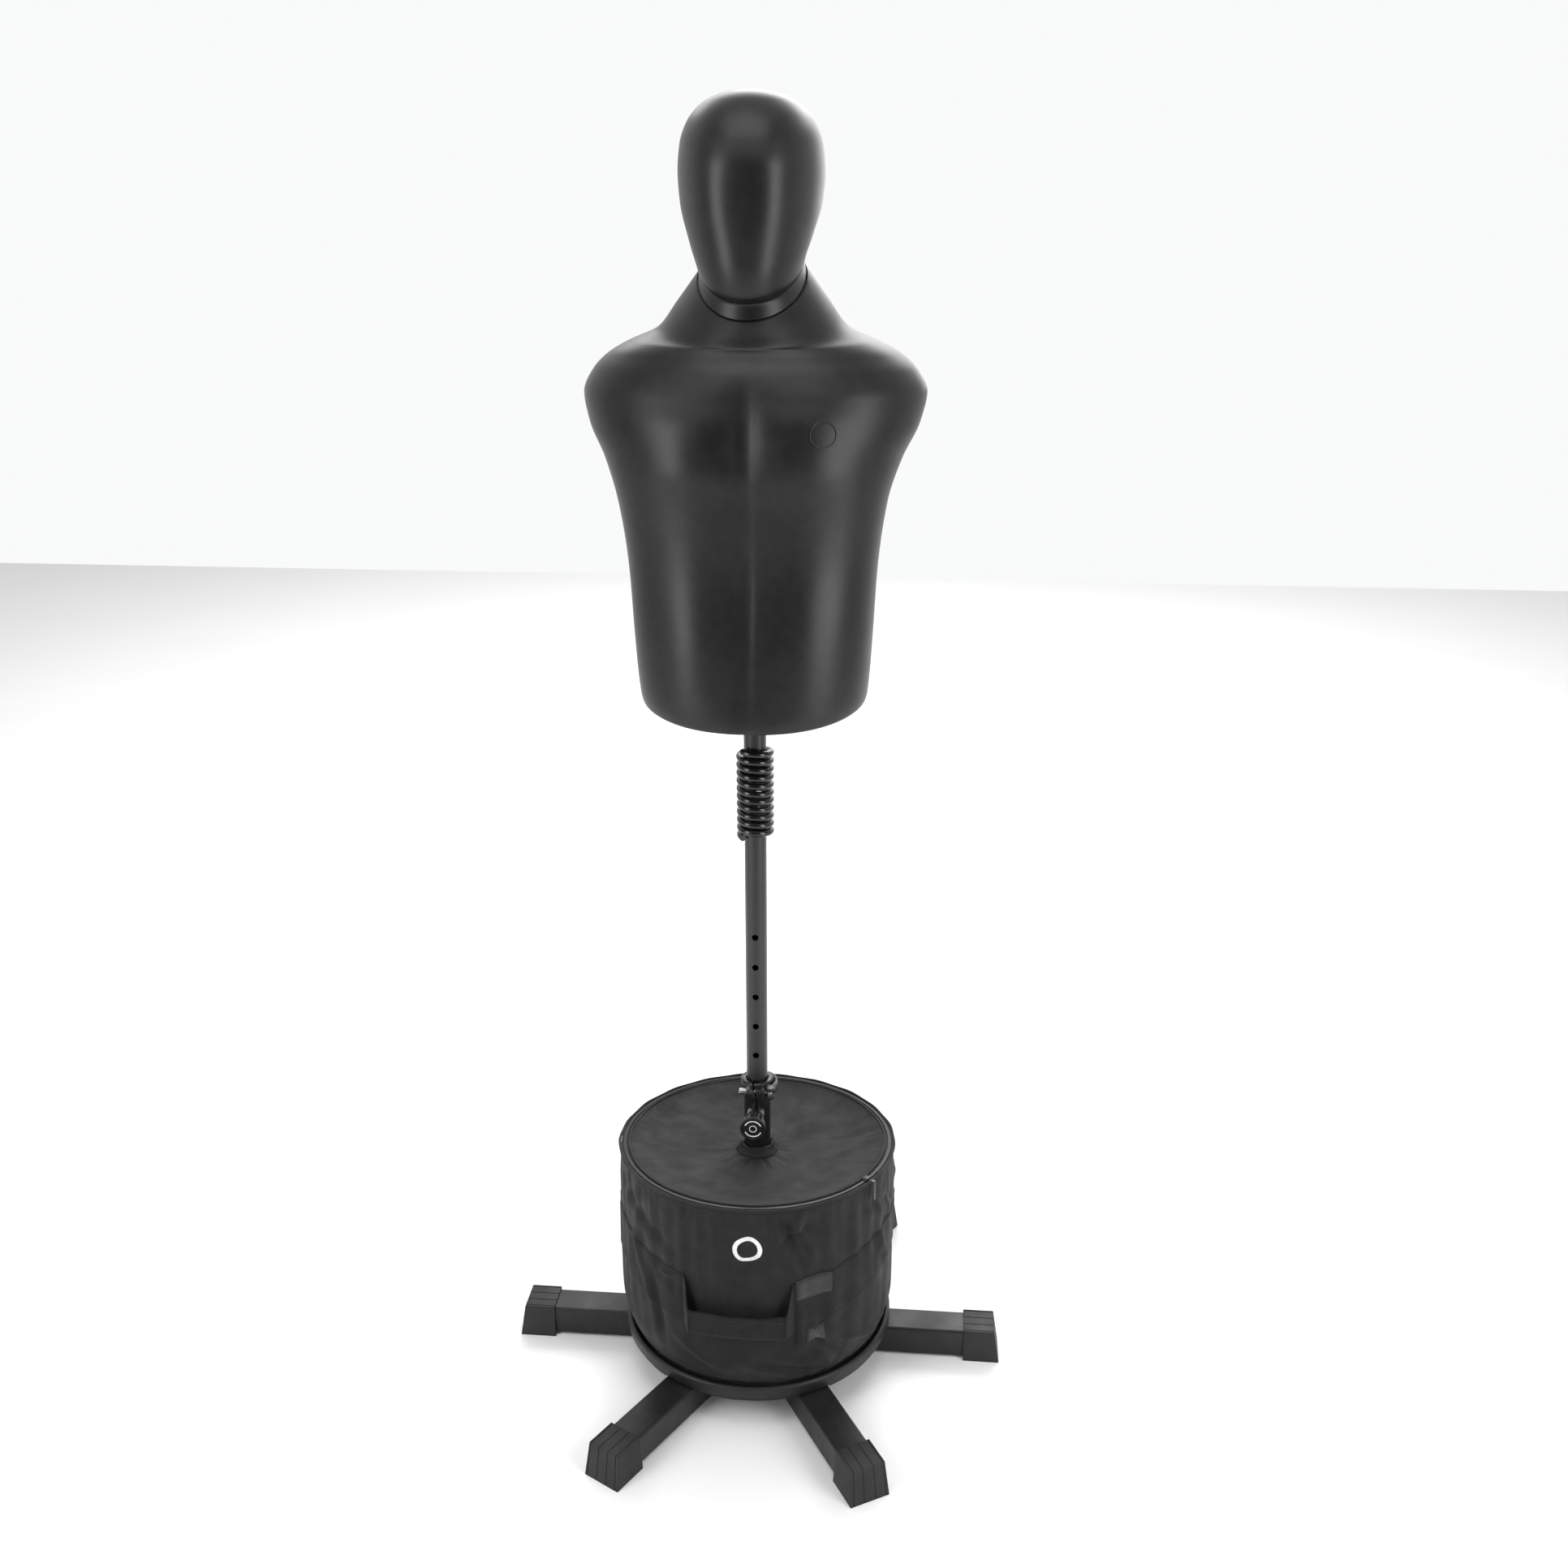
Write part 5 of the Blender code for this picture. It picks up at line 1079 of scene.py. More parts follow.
def tray_rim():
    """The rolled rim: out from the skirt, over the top and down to the floor."""
    lip = TRAY_TOP - 0.0004
    outer_side = [(TRAY_ROUND - 0.0006, lip), (TRAY_ROUND, lip + 0.0008), (TRAY_ROUND, TRAY_HIGH.z - 0.0045)]
    roll = [(TRAY_ROUND - 0.0044 + 0.0044 * math.cos(a), TRAY_HIGH.z - 0.0044 + 0.0044 * math.sin(a))
            for a in (math.radians(15 * k) for k in range(1, 9))]
    inner_side = [(TRAY_ROUND - 0.0086, TRAY_HIGH.z - 0.0030), (TRAY_ROUND - 0.0100, TRAY_TOP + 0.0040),
                  (TRAY_ROUND - 0.0118, TRAY_TOP + 0.0008), (TRAY_ROUND - 0.0145, TRAY_TOP)]
    return outer_side + roll + inner_side


tray = turned("dish", (
    (OUTER_OUT + TUBE_ROOM, TRAY_UNDER), (TRAY_SKIRT - TRAY_SKIRT_WALL, TRAY_UNDER),
    (TRAY_SKIRT - TRAY_SKIRT_WALL, TRAY_LOW.z), (TRAY_SKIRT, TRAY_LOW.z),
    (TRAY_SKIRT, TRAY_TOP - 0.0004), *tray_rim(), (OUTER_OUT + TUBE_ROOM, TRAY_TOP),
), TRAY_PLASTIC, 192, hollow=True)


def leg_notch(turn):
    """The room that a leg takes from the tray's skirt."""
    section = round_cornered(LEG_HIGH.y + 0.0015, TRAY_LOW.z - 0.02, TRAY_UNDER + 0.0005, 0.0012)
    rings = [[(x, y, z) for y, z in section] for x in (TRAY_SKIRT - 0.03, TRAY_ROUND + 0.01)]
    notch = ringed("notch", rings, TRAY_PLASTIC)
    notch.data.transform(Matrix.Rotation(turn, 4, "Z"))
    return notch


def bolt_room(number):
    """The stepped hole of one leg bolt."""
    low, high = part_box(f"leg_bolt_{number}")
    middle = (low + high) / 2
    seat = high.z - BOLT_HEAD_TALL
    room = turned("bolt_room", ((BOLT_SHANK_ROOM, TRAY_UNDER - 0.01), (BOLT_SHANK_ROOM, seat),
                                (BOLT_HEAD_ROOM, seat), (BOLT_HEAD_ROOM, TRAY_TOP + 0.01)), TRAY_PLASTIC, 24)
    room.data.transform(Matrix.Translation((middle.x, middle.y, 0)))
    return room


cut(tray, *[leg_notch(turn) for turn in LEG_ANGLES], *[bolt_room(n) for n in range(1, 7)])
crisp(tray, 38)
fit(tray, "base", "tray_plastic", "tray")
print("tray:", len(tray.data.polygons), "faces")

# %% [markdown]
# ## The bag's wall, with cloth simulation
# The wall is one strip of coated polyester round a sack of sand. It is slack at the foot, bulges
# at the middle and is held up by the zip, and its rim leans, higher in front. The strip is let go
# as cloth that is a little too large for its place, so it buckles by itself. Long creases and small
# puckers are pressed in last, where the handles pull the cloth and the zip gathers it.

# %% Bag sizes
BAG_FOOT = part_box("bag_shell")[0].z
RIM_HEIGHT = 0.3715
LID_SLOPE = 0.0575
SLOPE_START = 0.262
WALL_PROFILE = (
    # share of the height, radius
    (0.0, 0.1925), (0.010, 0.1955), (0.055, 0.1970), (0.120, 0.2040), (0.22, 0.2115), (0.34, 0.2130),
    (0.84, 0.2130), (0.93, 0.2115), (1.0, 0.2095),
)
WALL_ROWS = 72
WALL_COLUMNS = 320
WALL_THICK = 0.0012
CREASES = (
    # from (angle, height) to (angle, height), width, how far it stands out
    (15, 0.356, 25, 0.272, 0.0060, -0.0072),
    (19, 0.360, 30, 0.290, 0.0050, 0.0051),
    (8, 0.374, 11, 0.340, 0.0045, -0.0038),
    (25, 0.370, 19, 0.330, 0.0040, 0.0043),
    (27, 0.345, 14, 0.318, 0.0045, -0.0035),
    (-11, 0.290, 14, 0.300, 0.0080, -0.0043),
    (34, 0.150, 27, 0.190, 0.0050, 0.0043),
    (28, 0.160, 44, 0.098, 0.0060, -0.0049),
    (42, 0.140, 66, 0.100, 0.0055, 0.0043),
    (5, 0.130, 34, 0.092, 0.0060, -0.0043),
    (-30, 0.150, -6, 0.105, 0.0070, 0.0041),
    (-42, 0.246, -36, 0.130, 0.0070, -0.0049),
    (-58, 0.300, -40, 0.180, 0.0090, 0.0041),
    (-66, 0.340, -28, 0.290, 0.0090, -0.0035),
    (-40, 0.250, -24, 0.256, 0.0050, 0.0038),
    (55, 0.340, 84, 0.300, 0.0070, -0.0043),
    (62, 0.290, 74, 0.210, 0.0080, 0.0038),
    (88, 0.360, 104, 0.300, 0.0070, -0.0052),
    (150, 0.350, 163, 0.270, 0.0060, -0.0058),
    (206, 0.350, 196, 0.270, 0.0070, -0.0052),
    (178, 0.300, 200, 0.290, 0.0080, -0.0038),
    (238, 0.330, 250, 0.200, 0.0090, 0.0043),
    (118, 0.300, 130, 0.180, 0.0090, -0.0043),
)


def smooth_step(share):
    """Zero below 0, one above 1 and smooth between."""
    t = np.clip(share, 0, 1)
    return t * t * (3 - 2 * t)


def leaned(x, y, z):
    """A point of the bag after its rim is leaned."""
    return (x, y, z - LID_SLOPE * y * smooth_step((z - SLOPE_START) / (RIM_HEIGHT - SLOPE_START)))


def wrapped_turn(angle):
    """An angle brought between minus and plus half a turn."""
    return (angle + math.pi) % (2 * math.pi) - math.pi


def crease(angle, height, line):
    """How far one crease pushes a point of the wall: a ridge with a shallow valley beside it."""
    a1, z1, a2, z2, width, lift = line
    across = BAG_ROUND * wrapped_turn(angle - math.radians(a1))
    up = height - z1
    run, rise = BAG_ROUND * math.radians(a2 - a1), z2 - z1
    length = math.hypot(run, rise)
    share = np.clip((across * run + up * rise) / length**2, 0, 1)
    beside = (across * rise - up * run) / length
    off = np.hypot(across - share * run, up - share * rise)
    fade = 1 - np.abs(2 * share - 1) ** 3 * 0.8
    return lift * fade * (np.exp(-(off / width) ** 2)
                          - 0.5 * np.exp(-((beside - 1.9 * width) / (1.3 * width)) ** 2) * (off < 5 * width))


def small_creases(seed=11, count=110):
    """Little ones: short puckers under the rim, slanting ones at the foot, a few between."""
    chance = np.random.default_rng(seed)
    lines = []
    for i in range(count):
        angle = chance.uniform(-180, 180)
        if i % 3 == 0:
            lines.append((angle, 0.372, angle + chance.uniform(-3, 3), 0.372 - chance.uniform(0.012, 0.035),
                          chance.uniform(0.0022, 0.0040), chance.uniform(-0.0014, 0.0012)))
        elif i % 3 == 1:
            low = chance.uniform(0.066, 0.090)
            lines.append((angle, low, angle + chance.uniform(-12, 12), low + chance.uniform(0.015, 0.055),
                          chance.uniform(0.003, 0.006), chance.uniform(-0.0022, 0.0018)))
        else:
            low = chance.uniform(0.10, 0.30)
            lines.append((angle, low, angle + chance.uniform(-9, 9),
                          low + chance.uniform(-0.05, 0.05) + 0.001,
                          chance.uniform(0.004, 0.008), chance.uniform(-0.0013, 0.0013)))
    return lines


def bulges(angle, height):
    """Broad slack shapes of the wall."""
    middle = np.exp(-((height - 0.215) / 0.085) ** 2)
    waves = (0.0016 * np.sin(2 * angle + 0.8) + 0.0014 * np.sin(3 * angle - 1.1 + 9 * height)
             + 0.0009 * np.sin(7 * angle + 22 * height))
    left = 0.0030 * np.exp(-(wrapped_turn(angle + math.radians(88)) / 0.5) ** 2)
    right = -0.0030 * np.exp(-(wrapped_turn(angle - math.radians(88)) / 0.6) ** 2)
    return middle * (waves + left + right)


print(len(CREASES), "drawn creases")


# %% Wall before it settles
def wall_grid():
    """Angle, height, radius and hold of every point of the wall, before the rim leans."""
    shares = np.linspace(0, 1, WALL_ROWS)
    radii = smooth_line(*zip(*WALL_PROFILE), shares)
    heights = BAG_FOOT + shares * (RIM_HEIGHT - BAG_FOOT)
    angle = np.linspace(0, 2 * math.pi, WALL_COLUMNS, endpoint=False)[None, :]
    height = heights[:, None]
    held = smooth_step((height - BAG_FOOT) / 0.02) * smooth_step((RIM_HEIGHT - height) / 0.012)
    return angle, height + 0 * angle, radii[:, None] + held * bulges(angle, height), held


def wall_points():
    """Rows of points up the wall, bulged and leaned."""
    angle, height, radius, _ = wall_grid()
    return np.stack(leaned(radius * np.sin(angle), -radius * np.cos(angle), height), -1)


def crease_wall(obj):
    """Press the drawn creases and the small ones into the settled wall."""
    angle, height, _, held = wall_grid()
    push = held * sum(crease(angle, height, line) for line in (*CREASES, *small_creases()))
    points = points_of(obj)
    count = WALL_ROWS * WALL_COLUMNS
    points[:count, 0] += (push * np.sin(angle)).ravel()
    points[:count, 1] -= (push * np.cos(angle)).ravel()
    put_points(obj, points)


def settled(obj, pinned, shrink, pressure, frames, limit):
    """Let a piece settle as cloth. No point moves further than the limit."""
    start = points_of(obj)
    obj.vertex_groups.new(name="pins").add(pinned, 1.0, "REPLACE")
    modifier = obj.modifiers.new("cloth", "CLOTH")
    cloth = modifier.settings
    cloth.quality = 6
    cloth.mass = 0.2
    cloth.tension_stiffness = 22
    cloth.compression_stiffness = 22
    cloth.shear_stiffness = 8
    cloth.bending_stiffness = 2.5
    cloth.shrink_min = shrink
    cloth.use_pressure = True
    cloth.uniform_pressure_force = pressure
    cloth.vertex_group_mass = "pins"
    cloth.effector_weights.gravity = 0.25
    modifier.point_cache.frame_end = frames
    for frame_number in range(1, frames + 1):
        bpy.context.scene.frame_set(frame_number)
    baked(obj)
    bpy.context.scene.frame_set(1)
    obj.vertex_groups.clear()
    moved = points_of(obj) - start
    far = np.maximum(np.linalg.norm(moved, axis=1, keepdims=True), 1e-9)
    put_points(obj, start + moved * (limit * np.tanh(far / limit) / far))
    print(obj.name, "settled, farthest", round(float(far.max()) * 1000, 1), "mm")
    return obj


def thickened(obj, thick, offset=-1.0):
    """Give a sheet its thickness."""
    modifier = obj.modifiers.new("thickness", "SOLIDIFY")
    modifier.thickness = thick
    modifier.offset = offset
    baked(obj)
    crisp(obj, 70)
    return obj


# %% Wall and foot of the bag
wall_rows = wall_points()
wall_verts = wall_rows.reshape(-1, 3)
foot_start = len(wall_verts)
FOOT_SHARES = (0.93, 0.55, 0.15)
foot_rings = [[(x * share, y * share, BAG_FOOT) for x, y, _ in wall_rows[0]] for share in FOOT_SHARES]
wall_faces = grid_faces(WALL_ROWS, WALL_COLUMNS)
rows_of_foot = [range(WALL_COLUMNS)]
for k in range(len(FOOT_SHARES)):
    rows_of_foot.append(range(foot_start + k * WALL_COLUMNS, foot_start + (k + 1) * WALL_COLUMNS))
for outside_row, inside_row in zip(rows_of_foot, rows_of_foot[1:]):
    for c in range(WALL_COLUMNS):
        n = (c + 1) % WALL_COLUMNS
        wall_faces.append((outside_row[n], outside_row[c], inside_row[c], inside_row[n]))
wall = new_piece("bag", [*wall_verts, *[p for ring in foot_rings for p in ring]], wall_faces, BAG_CLOTH)
held_points = [*range(3 * WALL_COLUMNS), *range((WALL_ROWS - 2) * WALL_COLUMNS, len(wall.data.vertices))]
settled(wall, held_points, shrink=-0.014, pressure=0.4, frames=24, limit=0.0045)
crease_wall(wall)
wall_tree = surface_of(wall)
thickened(wall, WALL_THICK)
fit(wall, "base", "bag_fabric", "bag_shell")
print("bag wall:", len(wall.data.vertices), "points")

# %% [markdown]
# Everything sewn on the wall is laid on its final, creased surface: a point is found by looking
# in towards the mast at an angle and a height, and is lifted off the cloth along its normal.


# %% Laying things on the wall
def on_wall(angle, height, lift):
    """The wall's point at an angle from the front and a height, lifted off the cloth."""
    outward = Vector((math.sin(angle), -math.cos(angle), 0))
    hit, normal, _, _ = wall_tree.ray_cast(outward * 0.4 + Vector((0, 0, height)), -outward)
    if normal.dot(outward) < 0:
        normal = -normal
    return hit + (normal * 0.4 + outward * 0.6).normalized() * lift


def laid_strip(name, first, last, lower, upper, thick, mat, steps, across=14, base_lift=-0.0006):
    """A strip sewn round the wall, with its two long edges softened."""
    rings = []
    for i in range(steps + 1):
        angle = first + (last - first) * i / steps
        low, high = lower(angle), upper(angle)
        outside, inside = [], []
        for k in range(across + 1):
            share = k / across
            lift = thick * min(1.0, min(share, 1 - share) * across * 0.6 + 0.35)
            outside.append(on_wall(angle, low + share * (high - low), lift))
            inside.append(on_wall(angle, low + share * (high - low), base_lift))
        rings.append([*outside, *reversed(inside)])
    return ringed(name, rings, mat)


print("ready to lay strips")

# %% [markdown]
# ## Bands, grips and patches
# A wide band of webbing runs round the bag on both sides. It comes free of the wall at the front
# and at the back, where it is folded into a flat grip. Between the grip and the wall each end has
# a small web that twists from the band's full width to the grip's.

# %% Bands
HANDLE_MIDDLES = {"front": math.radians(-2.2), "rear": math.radians(177.8)}
HANDLE_HALF = math.radians(22.5)
BAND_LOW, BAND_HIGH = 0.1775, 0.262
BAND_THICK = 0.0015
BAND_RISE_LOW, BAND_RISE_HIGH = 0.036, 0.023


def from_handle(angle):
    """How far an angle is past the nearest handle's end, as a share of the way to the side."""
    nearest = min(abs(wrapped_turn(angle - middle)) for middle in HANDLE_MIDDLES.values())
    return float(smooth_step((nearest - HANDLE_HALF) / math.radians(62)))


def band_lower(angle):
    """The band's lower edge at an angle."""
    return BAND_LOW + BAND_RISE_LOW * from_handle(angle)


def band_upper(angle):
    """The band's upper edge at an angle."""
    return BAND_HIGH + BAND_RISE_HIGH * from_handle(angle)


band_edges = {
    "right_band": (HANDLE_MIDDLES["front"] + HANDLE_HALF, HANDLE_MIDDLES["rear"] - HANDLE_HALF),
    "left_band": (HANDLE_MIDDLES["rear"] + HANDLE_HALF - 2 * math.pi, HANDLE_MIDDLES["front"] - HANDLE_HALF),
}
for node, (first, last) in band_edges.items():
    band = laid_strip(node + "_cloth", first, last, band_lower, band_upper, BAND_THICK, WEBBING, 190)
    fit(band, "base", "webbing", node)
    print(band.name, len(band.data.vertices), "points")

# %% Grips
GRIP_HALF = math.radians(18.0)
GRIP_INNER = -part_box("front_handle")[0].y - 0.0065
GRIP_THICK = 0.0062
WEB_THICK = 0.0022
WEB_LIFT = 0.0018
GRIP_MIDDLE = 0.196
GRIP_TALL = 0.0385
GRIP_ARCH = 0.0035


def strap_section(radius, height, thick, tall, angle, lean=0.0, points=24):
    """A flattened oval section of a folded strap, at an angle round the bag."""
    ring = []
    for t in angles(points):
        c, s = math.cos(t), math.sin(t)
        out = radius + thick / 2 * math.copysign(abs(c) ** 0.45, c) + lean * math.copysign(abs(s) ** 0.35, s)
        up = tall / 2 * math.copysign(abs(s) ** 0.35, s)
        ring.append((*from_front(out, angle), height + up))
    return ring


def grip_piece(name, middle):
    """The free, folded middle of the band."""
    rings = []
    for i in range(41):
        share = 2 * i / 40 - 1
        crumple = 0.0008 * math.sin(9 * share + 0.6) + 0.0005 * math.sin(23 * share)
        tall = GRIP_TALL * (0.93 + 0.07 * share**2) * (1 + 0.02 * math.sin(7 * share))
        radius = GRIP_INNER + GRIP_THICK / 2 + crumple * 0.6 - 0.0008 * share**2
        height = GRIP_MIDDLE + GRIP_ARCH * (1 - share**2) + crumple
        rings.append(strap_section(radius, height, GRIP_THICK, tall, middle + share * GRIP_HALF,
                                   0.0007 * math.sin(5 * share)))
    return ringed(name, rings, WEBBING)


def web_piece(name, middle, side):
    """The web from the band's end on the wall to the end of the grip."""
    rings = []
    anchor = middle + side * HANDLE_HALF
    for i in range(13):
        share = i / 12
        ease = float(smooth_step(share))
        angle = anchor + (middle + side * GRIP_HALF * 0.985 - anchor) * share
        height = (BAND_LOW + BAND_HIGH) / 2 * (1 - ease) + GRIP_MIDDLE * ease
        tall = (BAND_HIGH - BAND_LOW) * 0.985 * (1 - ease) + GRIP_TALL * 0.99 * ease
        thick = WEB_THICK * (1 - ease) + GRIP_THICK * 0.96 * ease
        low = on_wall(angle, height - tall * 0.45, WEB_LIFT)
        high = on_wall(angle, height + tall * 0.45, WEB_LIFT)
        on_cloth = (math.hypot(low.x, low.y) + math.hypot(high.x, high.y)) / 2
        lean = (math.hypot(high.x, high.y) - math.hypot(low.x, low.y)) / 2 * (1 - ease)
        radius = on_cloth * (1 - ease) + (GRIP_INNER + GRIP_THICK / 2) * ease
        rings.append(strap_section(radius, height, thick, tall, angle, lean))
    return ringed(name, rings, WEBBING)


for side_name, middle in HANDLE_MIDDLES.items():
    grip_body = side_name + "_grip"
    fit(grip_piece(side_name + "_grip_strap", middle), grip_body, "webbing", side_name + "_handle")
    for end_name, side in (("left", -1), ("right", 1)):
        web = web_piece(f"{side_name}_{end_name}_web", middle, side)
        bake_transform(web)
print("two grips, four webs")


# %% Hook patches and the printed ring
def laid_patch(name, a0, a1, z0, z1, lift, thick, mat, slot_name, steps=(22, 10)):
    """A small rectangle laid on the wall, softly rounded at its corners."""
    top, bottom = [], []
    columns, rows = steps
    for r in range(rows + 1):
        for c in range(columns + 1):
            u, v = 2 * c / columns - 1, 2 * r / rows - 1
            u2, v2 = u * math.sqrt(1 - 0.06 * v**8), v * math.sqrt(1 - 0.06 * u**8)
            angle = math.radians((a0 + a1) / 2 + (a1 - a0) / 2 * u2)
            height = (z0 + z1) / 2 + (z1 - z0) / 2 * v2
            edge = min(1.0, 3.0 * min(1 - abs(u), 1 - abs(v)) + 0.35)
            top.append(on_wall(angle, height, lift + thick * edge))
            bottom.append(on_wall(angle, height, lift - 0.0009))
    wide = columns + 1
    faces = grid_faces(rows + 1, wide, loop_columns=False)
    below = [tuple(i + len(top) for i in reversed(face)) for face in faces]
    border = [*range(wide), *range(2 * wide - 1, wide * (rows + 1), wide),
              *range(wide * (rows + 1) - 2, wide * rows - 1, -1), *range(wide * (rows - 1), 0, -wide)]
    sides = [(p, q, q + len(top), p + len(top)) for p, q in zip(border, border[1:] + border[:1])]
    return fit(outwards(new_piece(name, top + bottom, faces + below + sides, mat)), "base", slot_name)


PATCH_HIGH = (20.8, 36.0, 0.231, 0.264)  # first and last angle, lower and upper edge
PATCH_LOW = (25.5, 33.0, 0.152, 0.176)
PATCH_THICK = 0.0014
laid_patch("hook_patch_high", *PATCH_HIGH, BAND_THICK, PATCH_THICK, HOOK_PATCH, "webbing")
laid_patch("hook_patch_low", *PATCH_LOW, 0.0, PATCH_THICK, HOOK_PATCH, "webbing")
laid_patch("hook_tab", 20.8, 24.0, 0.150, 0.190, 0.0006, 0.0016, WEBBING, "webbing")
PRINT_PLACE = (math.radians(1.9), 0.320)
PRINT_RADII = (0.0215, 0.0150)


def printed_ring(outer, inner, steps=96, across=5):
    """A thin flat ring printed on the wall."""
    rings = []
    for t in angles(steps):
        around = []
        for k in range(across + 1):
            r = outer + (inner - outer) * k / across
            around.append((PRINT_PLACE[0] + r * math.cos(t) / BAG_ROUND,
                           PRINT_PLACE[1] + r * math.sin(t)))
        rings.append([*[on_wall(a, z, 0.00035) for a, z in around],
                      *[on_wall(a, z, -0.0005) for a, z in reversed(around)]])
    return ringed("printed_ring", rings, PRINT, loop=True)


fit(printed_ring(*PRINT_RADII), "base", "bag_fabric")
print("patches and print laid")

# %% [markdown]
# ## The lid, its sleeve, the piping and the zip
# The lid is a disc of the same cloth, stretched to a piped edge and sewn to a short sleeve round
# the outer tube. It sags from rim to sleeve with a few soft folds, and settles as cloth too. The
# zip runs in the gap between the two lines of piping.

# %% Lid
LID_INNER, LID_OUTER = 0.0256, 0.1972
LID_PROFILE = (
    (LID_INNER, 0.3535), (0.0600, 0.3548), (0.0900, 0.3575), (0.1500, 0.3645), (LID_OUTER, 0.3725),
)
LID_ROWS = 46
LID_COLUMNS = 224
LID_FOLDS = (
    # from (x, y) to (x, y), width, lift
    (0.185, 0.030, 0.115, -0.020, 0.012, 0.0034),
    (0.190, 0.052, 0.120, 0.030, 0.010, -0.0032),
    (0.020, -0.035, 0.100, -0.120, 0.016, -0.0022),
    (-0.030, 0.010, -0.150, 0.080, 0.018, 0.0024),
    (-0.030, -0.020, -0.130, -0.110, 0.018, -0.0020),
    (0.010, 0.040, 0.060, 0.165, 0.016, 0.0022),
    (-0.010, 0.045, -0.060, 0.160, 0.015, -0.0020),
)


def lid_fold(x, y, fold):
    """How far one soft fold lifts the lid."""
    x1, y1, x2, y2, width, lift = fold
    run, rise = x2 - x1, y2 - y1
    share = np.clip(((x - x1) * run + (y - y1) * rise) / (run**2 + rise**2), 0, 1)
    off = np.hypot(x - x1 - share * run, y - y1 - share * rise)
    return lift * np.exp(-(off / width) ** 2) * (1 - 0.6 * np.abs(2 * share - 1) ** 2)


def lid_points():
    """Rings of the lid, from the sleeve out to the rim."""
    radii = np.linspace(LID_INNER, LID_OUTER, LID_ROWS)[:, None]
    angle = np.linspace(0, 2 * math.pi, LID_COLUMNS, endpoint=False)[None, :]
    x, y = radii * np.sin(angle), -radii * np.cos(angle)
    held = smooth_step((radii - LID_INNER) / 0.012) * smooth_step((LID_OUTER - radii) / 0.010)
    height = smooth_line(*zip(*LID_PROFILE), radii.ravel())[:, None]
    puckers = 0.0010 * np.sin(11 * angle + 0.7) * np.exp(-((radii - 0.040) / 0.018) ** 2)
    push = puckers + sum(lid_fold(x, y, fold) for fold in LID_FOLDS)
    z = height + held * push - LID_SLOPE * y
    return np.stack([x, y, z], -1).reshape(-1, 3)


lid = new_piece("lid", lid_points(), grid_faces(LID_ROWS, LID_COLUMNS), LID_CLOTH)
rim_points = [*range(2 * LID_COLUMNS), *range((LID_ROWS - 2) * LID_COLUMNS, LID_ROWS * LID_COLUMNS)]
settled(lid, rim_points, shrink=-0.010, pressure=0.0, frames=18, limit=0.0060)
outwards(lid)
lid_tree = surface_of(lid)
if lid.data.polygons[0].normal.z < 0:
    lid.data.flip_normals()
thickened(lid, 0.0010)
fit(lid, "base", "bag_fabric", "bag_lid")
print("lid:", len(lid.data.vertices), "points")


# %% Sleeve and piping
SLEEVE_OUTLINE = (
    # radius, height; the first and last points are sewn to the tube
    (0.0204, 0.3500), (0.0300, 0.3528), (0.0318, 0.3545), (0.0296, 0.3566), (0.0262, 0.3590),
    (0.0250, 0.3630), (0.0245, 0.3652), (0.0232, 0.3662), (0.0214, 0.3655), (0.0204, 0.3640),
)
SLEEVE_FREE_RADIUS = 0.022
SLEEVE_FREE_HEIGHT = 0.356


def sleeve_rings():
    """A short gathered sleeve of cloth round the tube, turned out onto the lid."""
    rings = []
    for a in angles(120):
        fold = 0.0010 * math.sin(4 * a + 0.5) + 0.0006 * math.sin(9 * a + 2.0) + 0.0016 * math.exp(
            -(wrapped_turn(a - 0.9) / 0.25) ** 2)
        ring = []
        for r, z in SLEEVE_OUTLINE:
            lift = 1.2 * fold if z > SLEEVE_FREE_HEIGHT else 0
            ring.append((*from_front(r + (fold if r > SLEEVE_FREE_RADIUS else 0), a),
                         z + LID_SLOPE * r * math.cos(a) + lift))
        rings.append(ring)
    return rings


sleeve = ringed("sleeve", sleeve_rings(), LID_CLOTH, loop=True)
crisp(sleeve, 75)
fit(sleeve, "base", "bag_fabric", "bag_sleeve")


def piping(name, radius, wire, height, seed):
    """A cord covered in cloth, sewn along the leaning rim."""
    chance = np.random.default_rng(seed)
    waves = [(k, chance.uniform(0, 6.3), chance.uniform(0.00015, 0.00045)) for k in (3, 5, 8, 13, 21)]
    rings = []
    for a in angles(320):
        drift = sum(size * math.sin(k * a + phase) for k, phase, size in waves)
        ring = []
        for t in angles(10):
            r = radius + drift + wire * math.cos(t)
            ring.append((*from_front(r, a), height + 0.6 * drift + wire * math.sin(t)
                         + LID_SLOPE * r * math.cos(a)))
        rings.append(ring)
    obj = ringed(name, rings, PIPING, loop=True)
    obj.data.shade_smooth()
    return fit(obj, "base", "bag_fabric")


inner_piping = piping("inner_piping", 0.1968, 0.0020, RIM_HEIGHT + 0.0010, 3)
outer_piping = piping("outer_piping", 0.2106, 0.0021, RIM_HEIGHT + 0.0004, 5)
print("sleeve and two lines of piping")

# %% [markdown]
# The zip's teeth and every line of stitches repeat at one pitch, so they are grown by Geometry
# Nodes along a path: the path is walked at that pitch, and one small shape is set down on every
# step and turned to face along it.


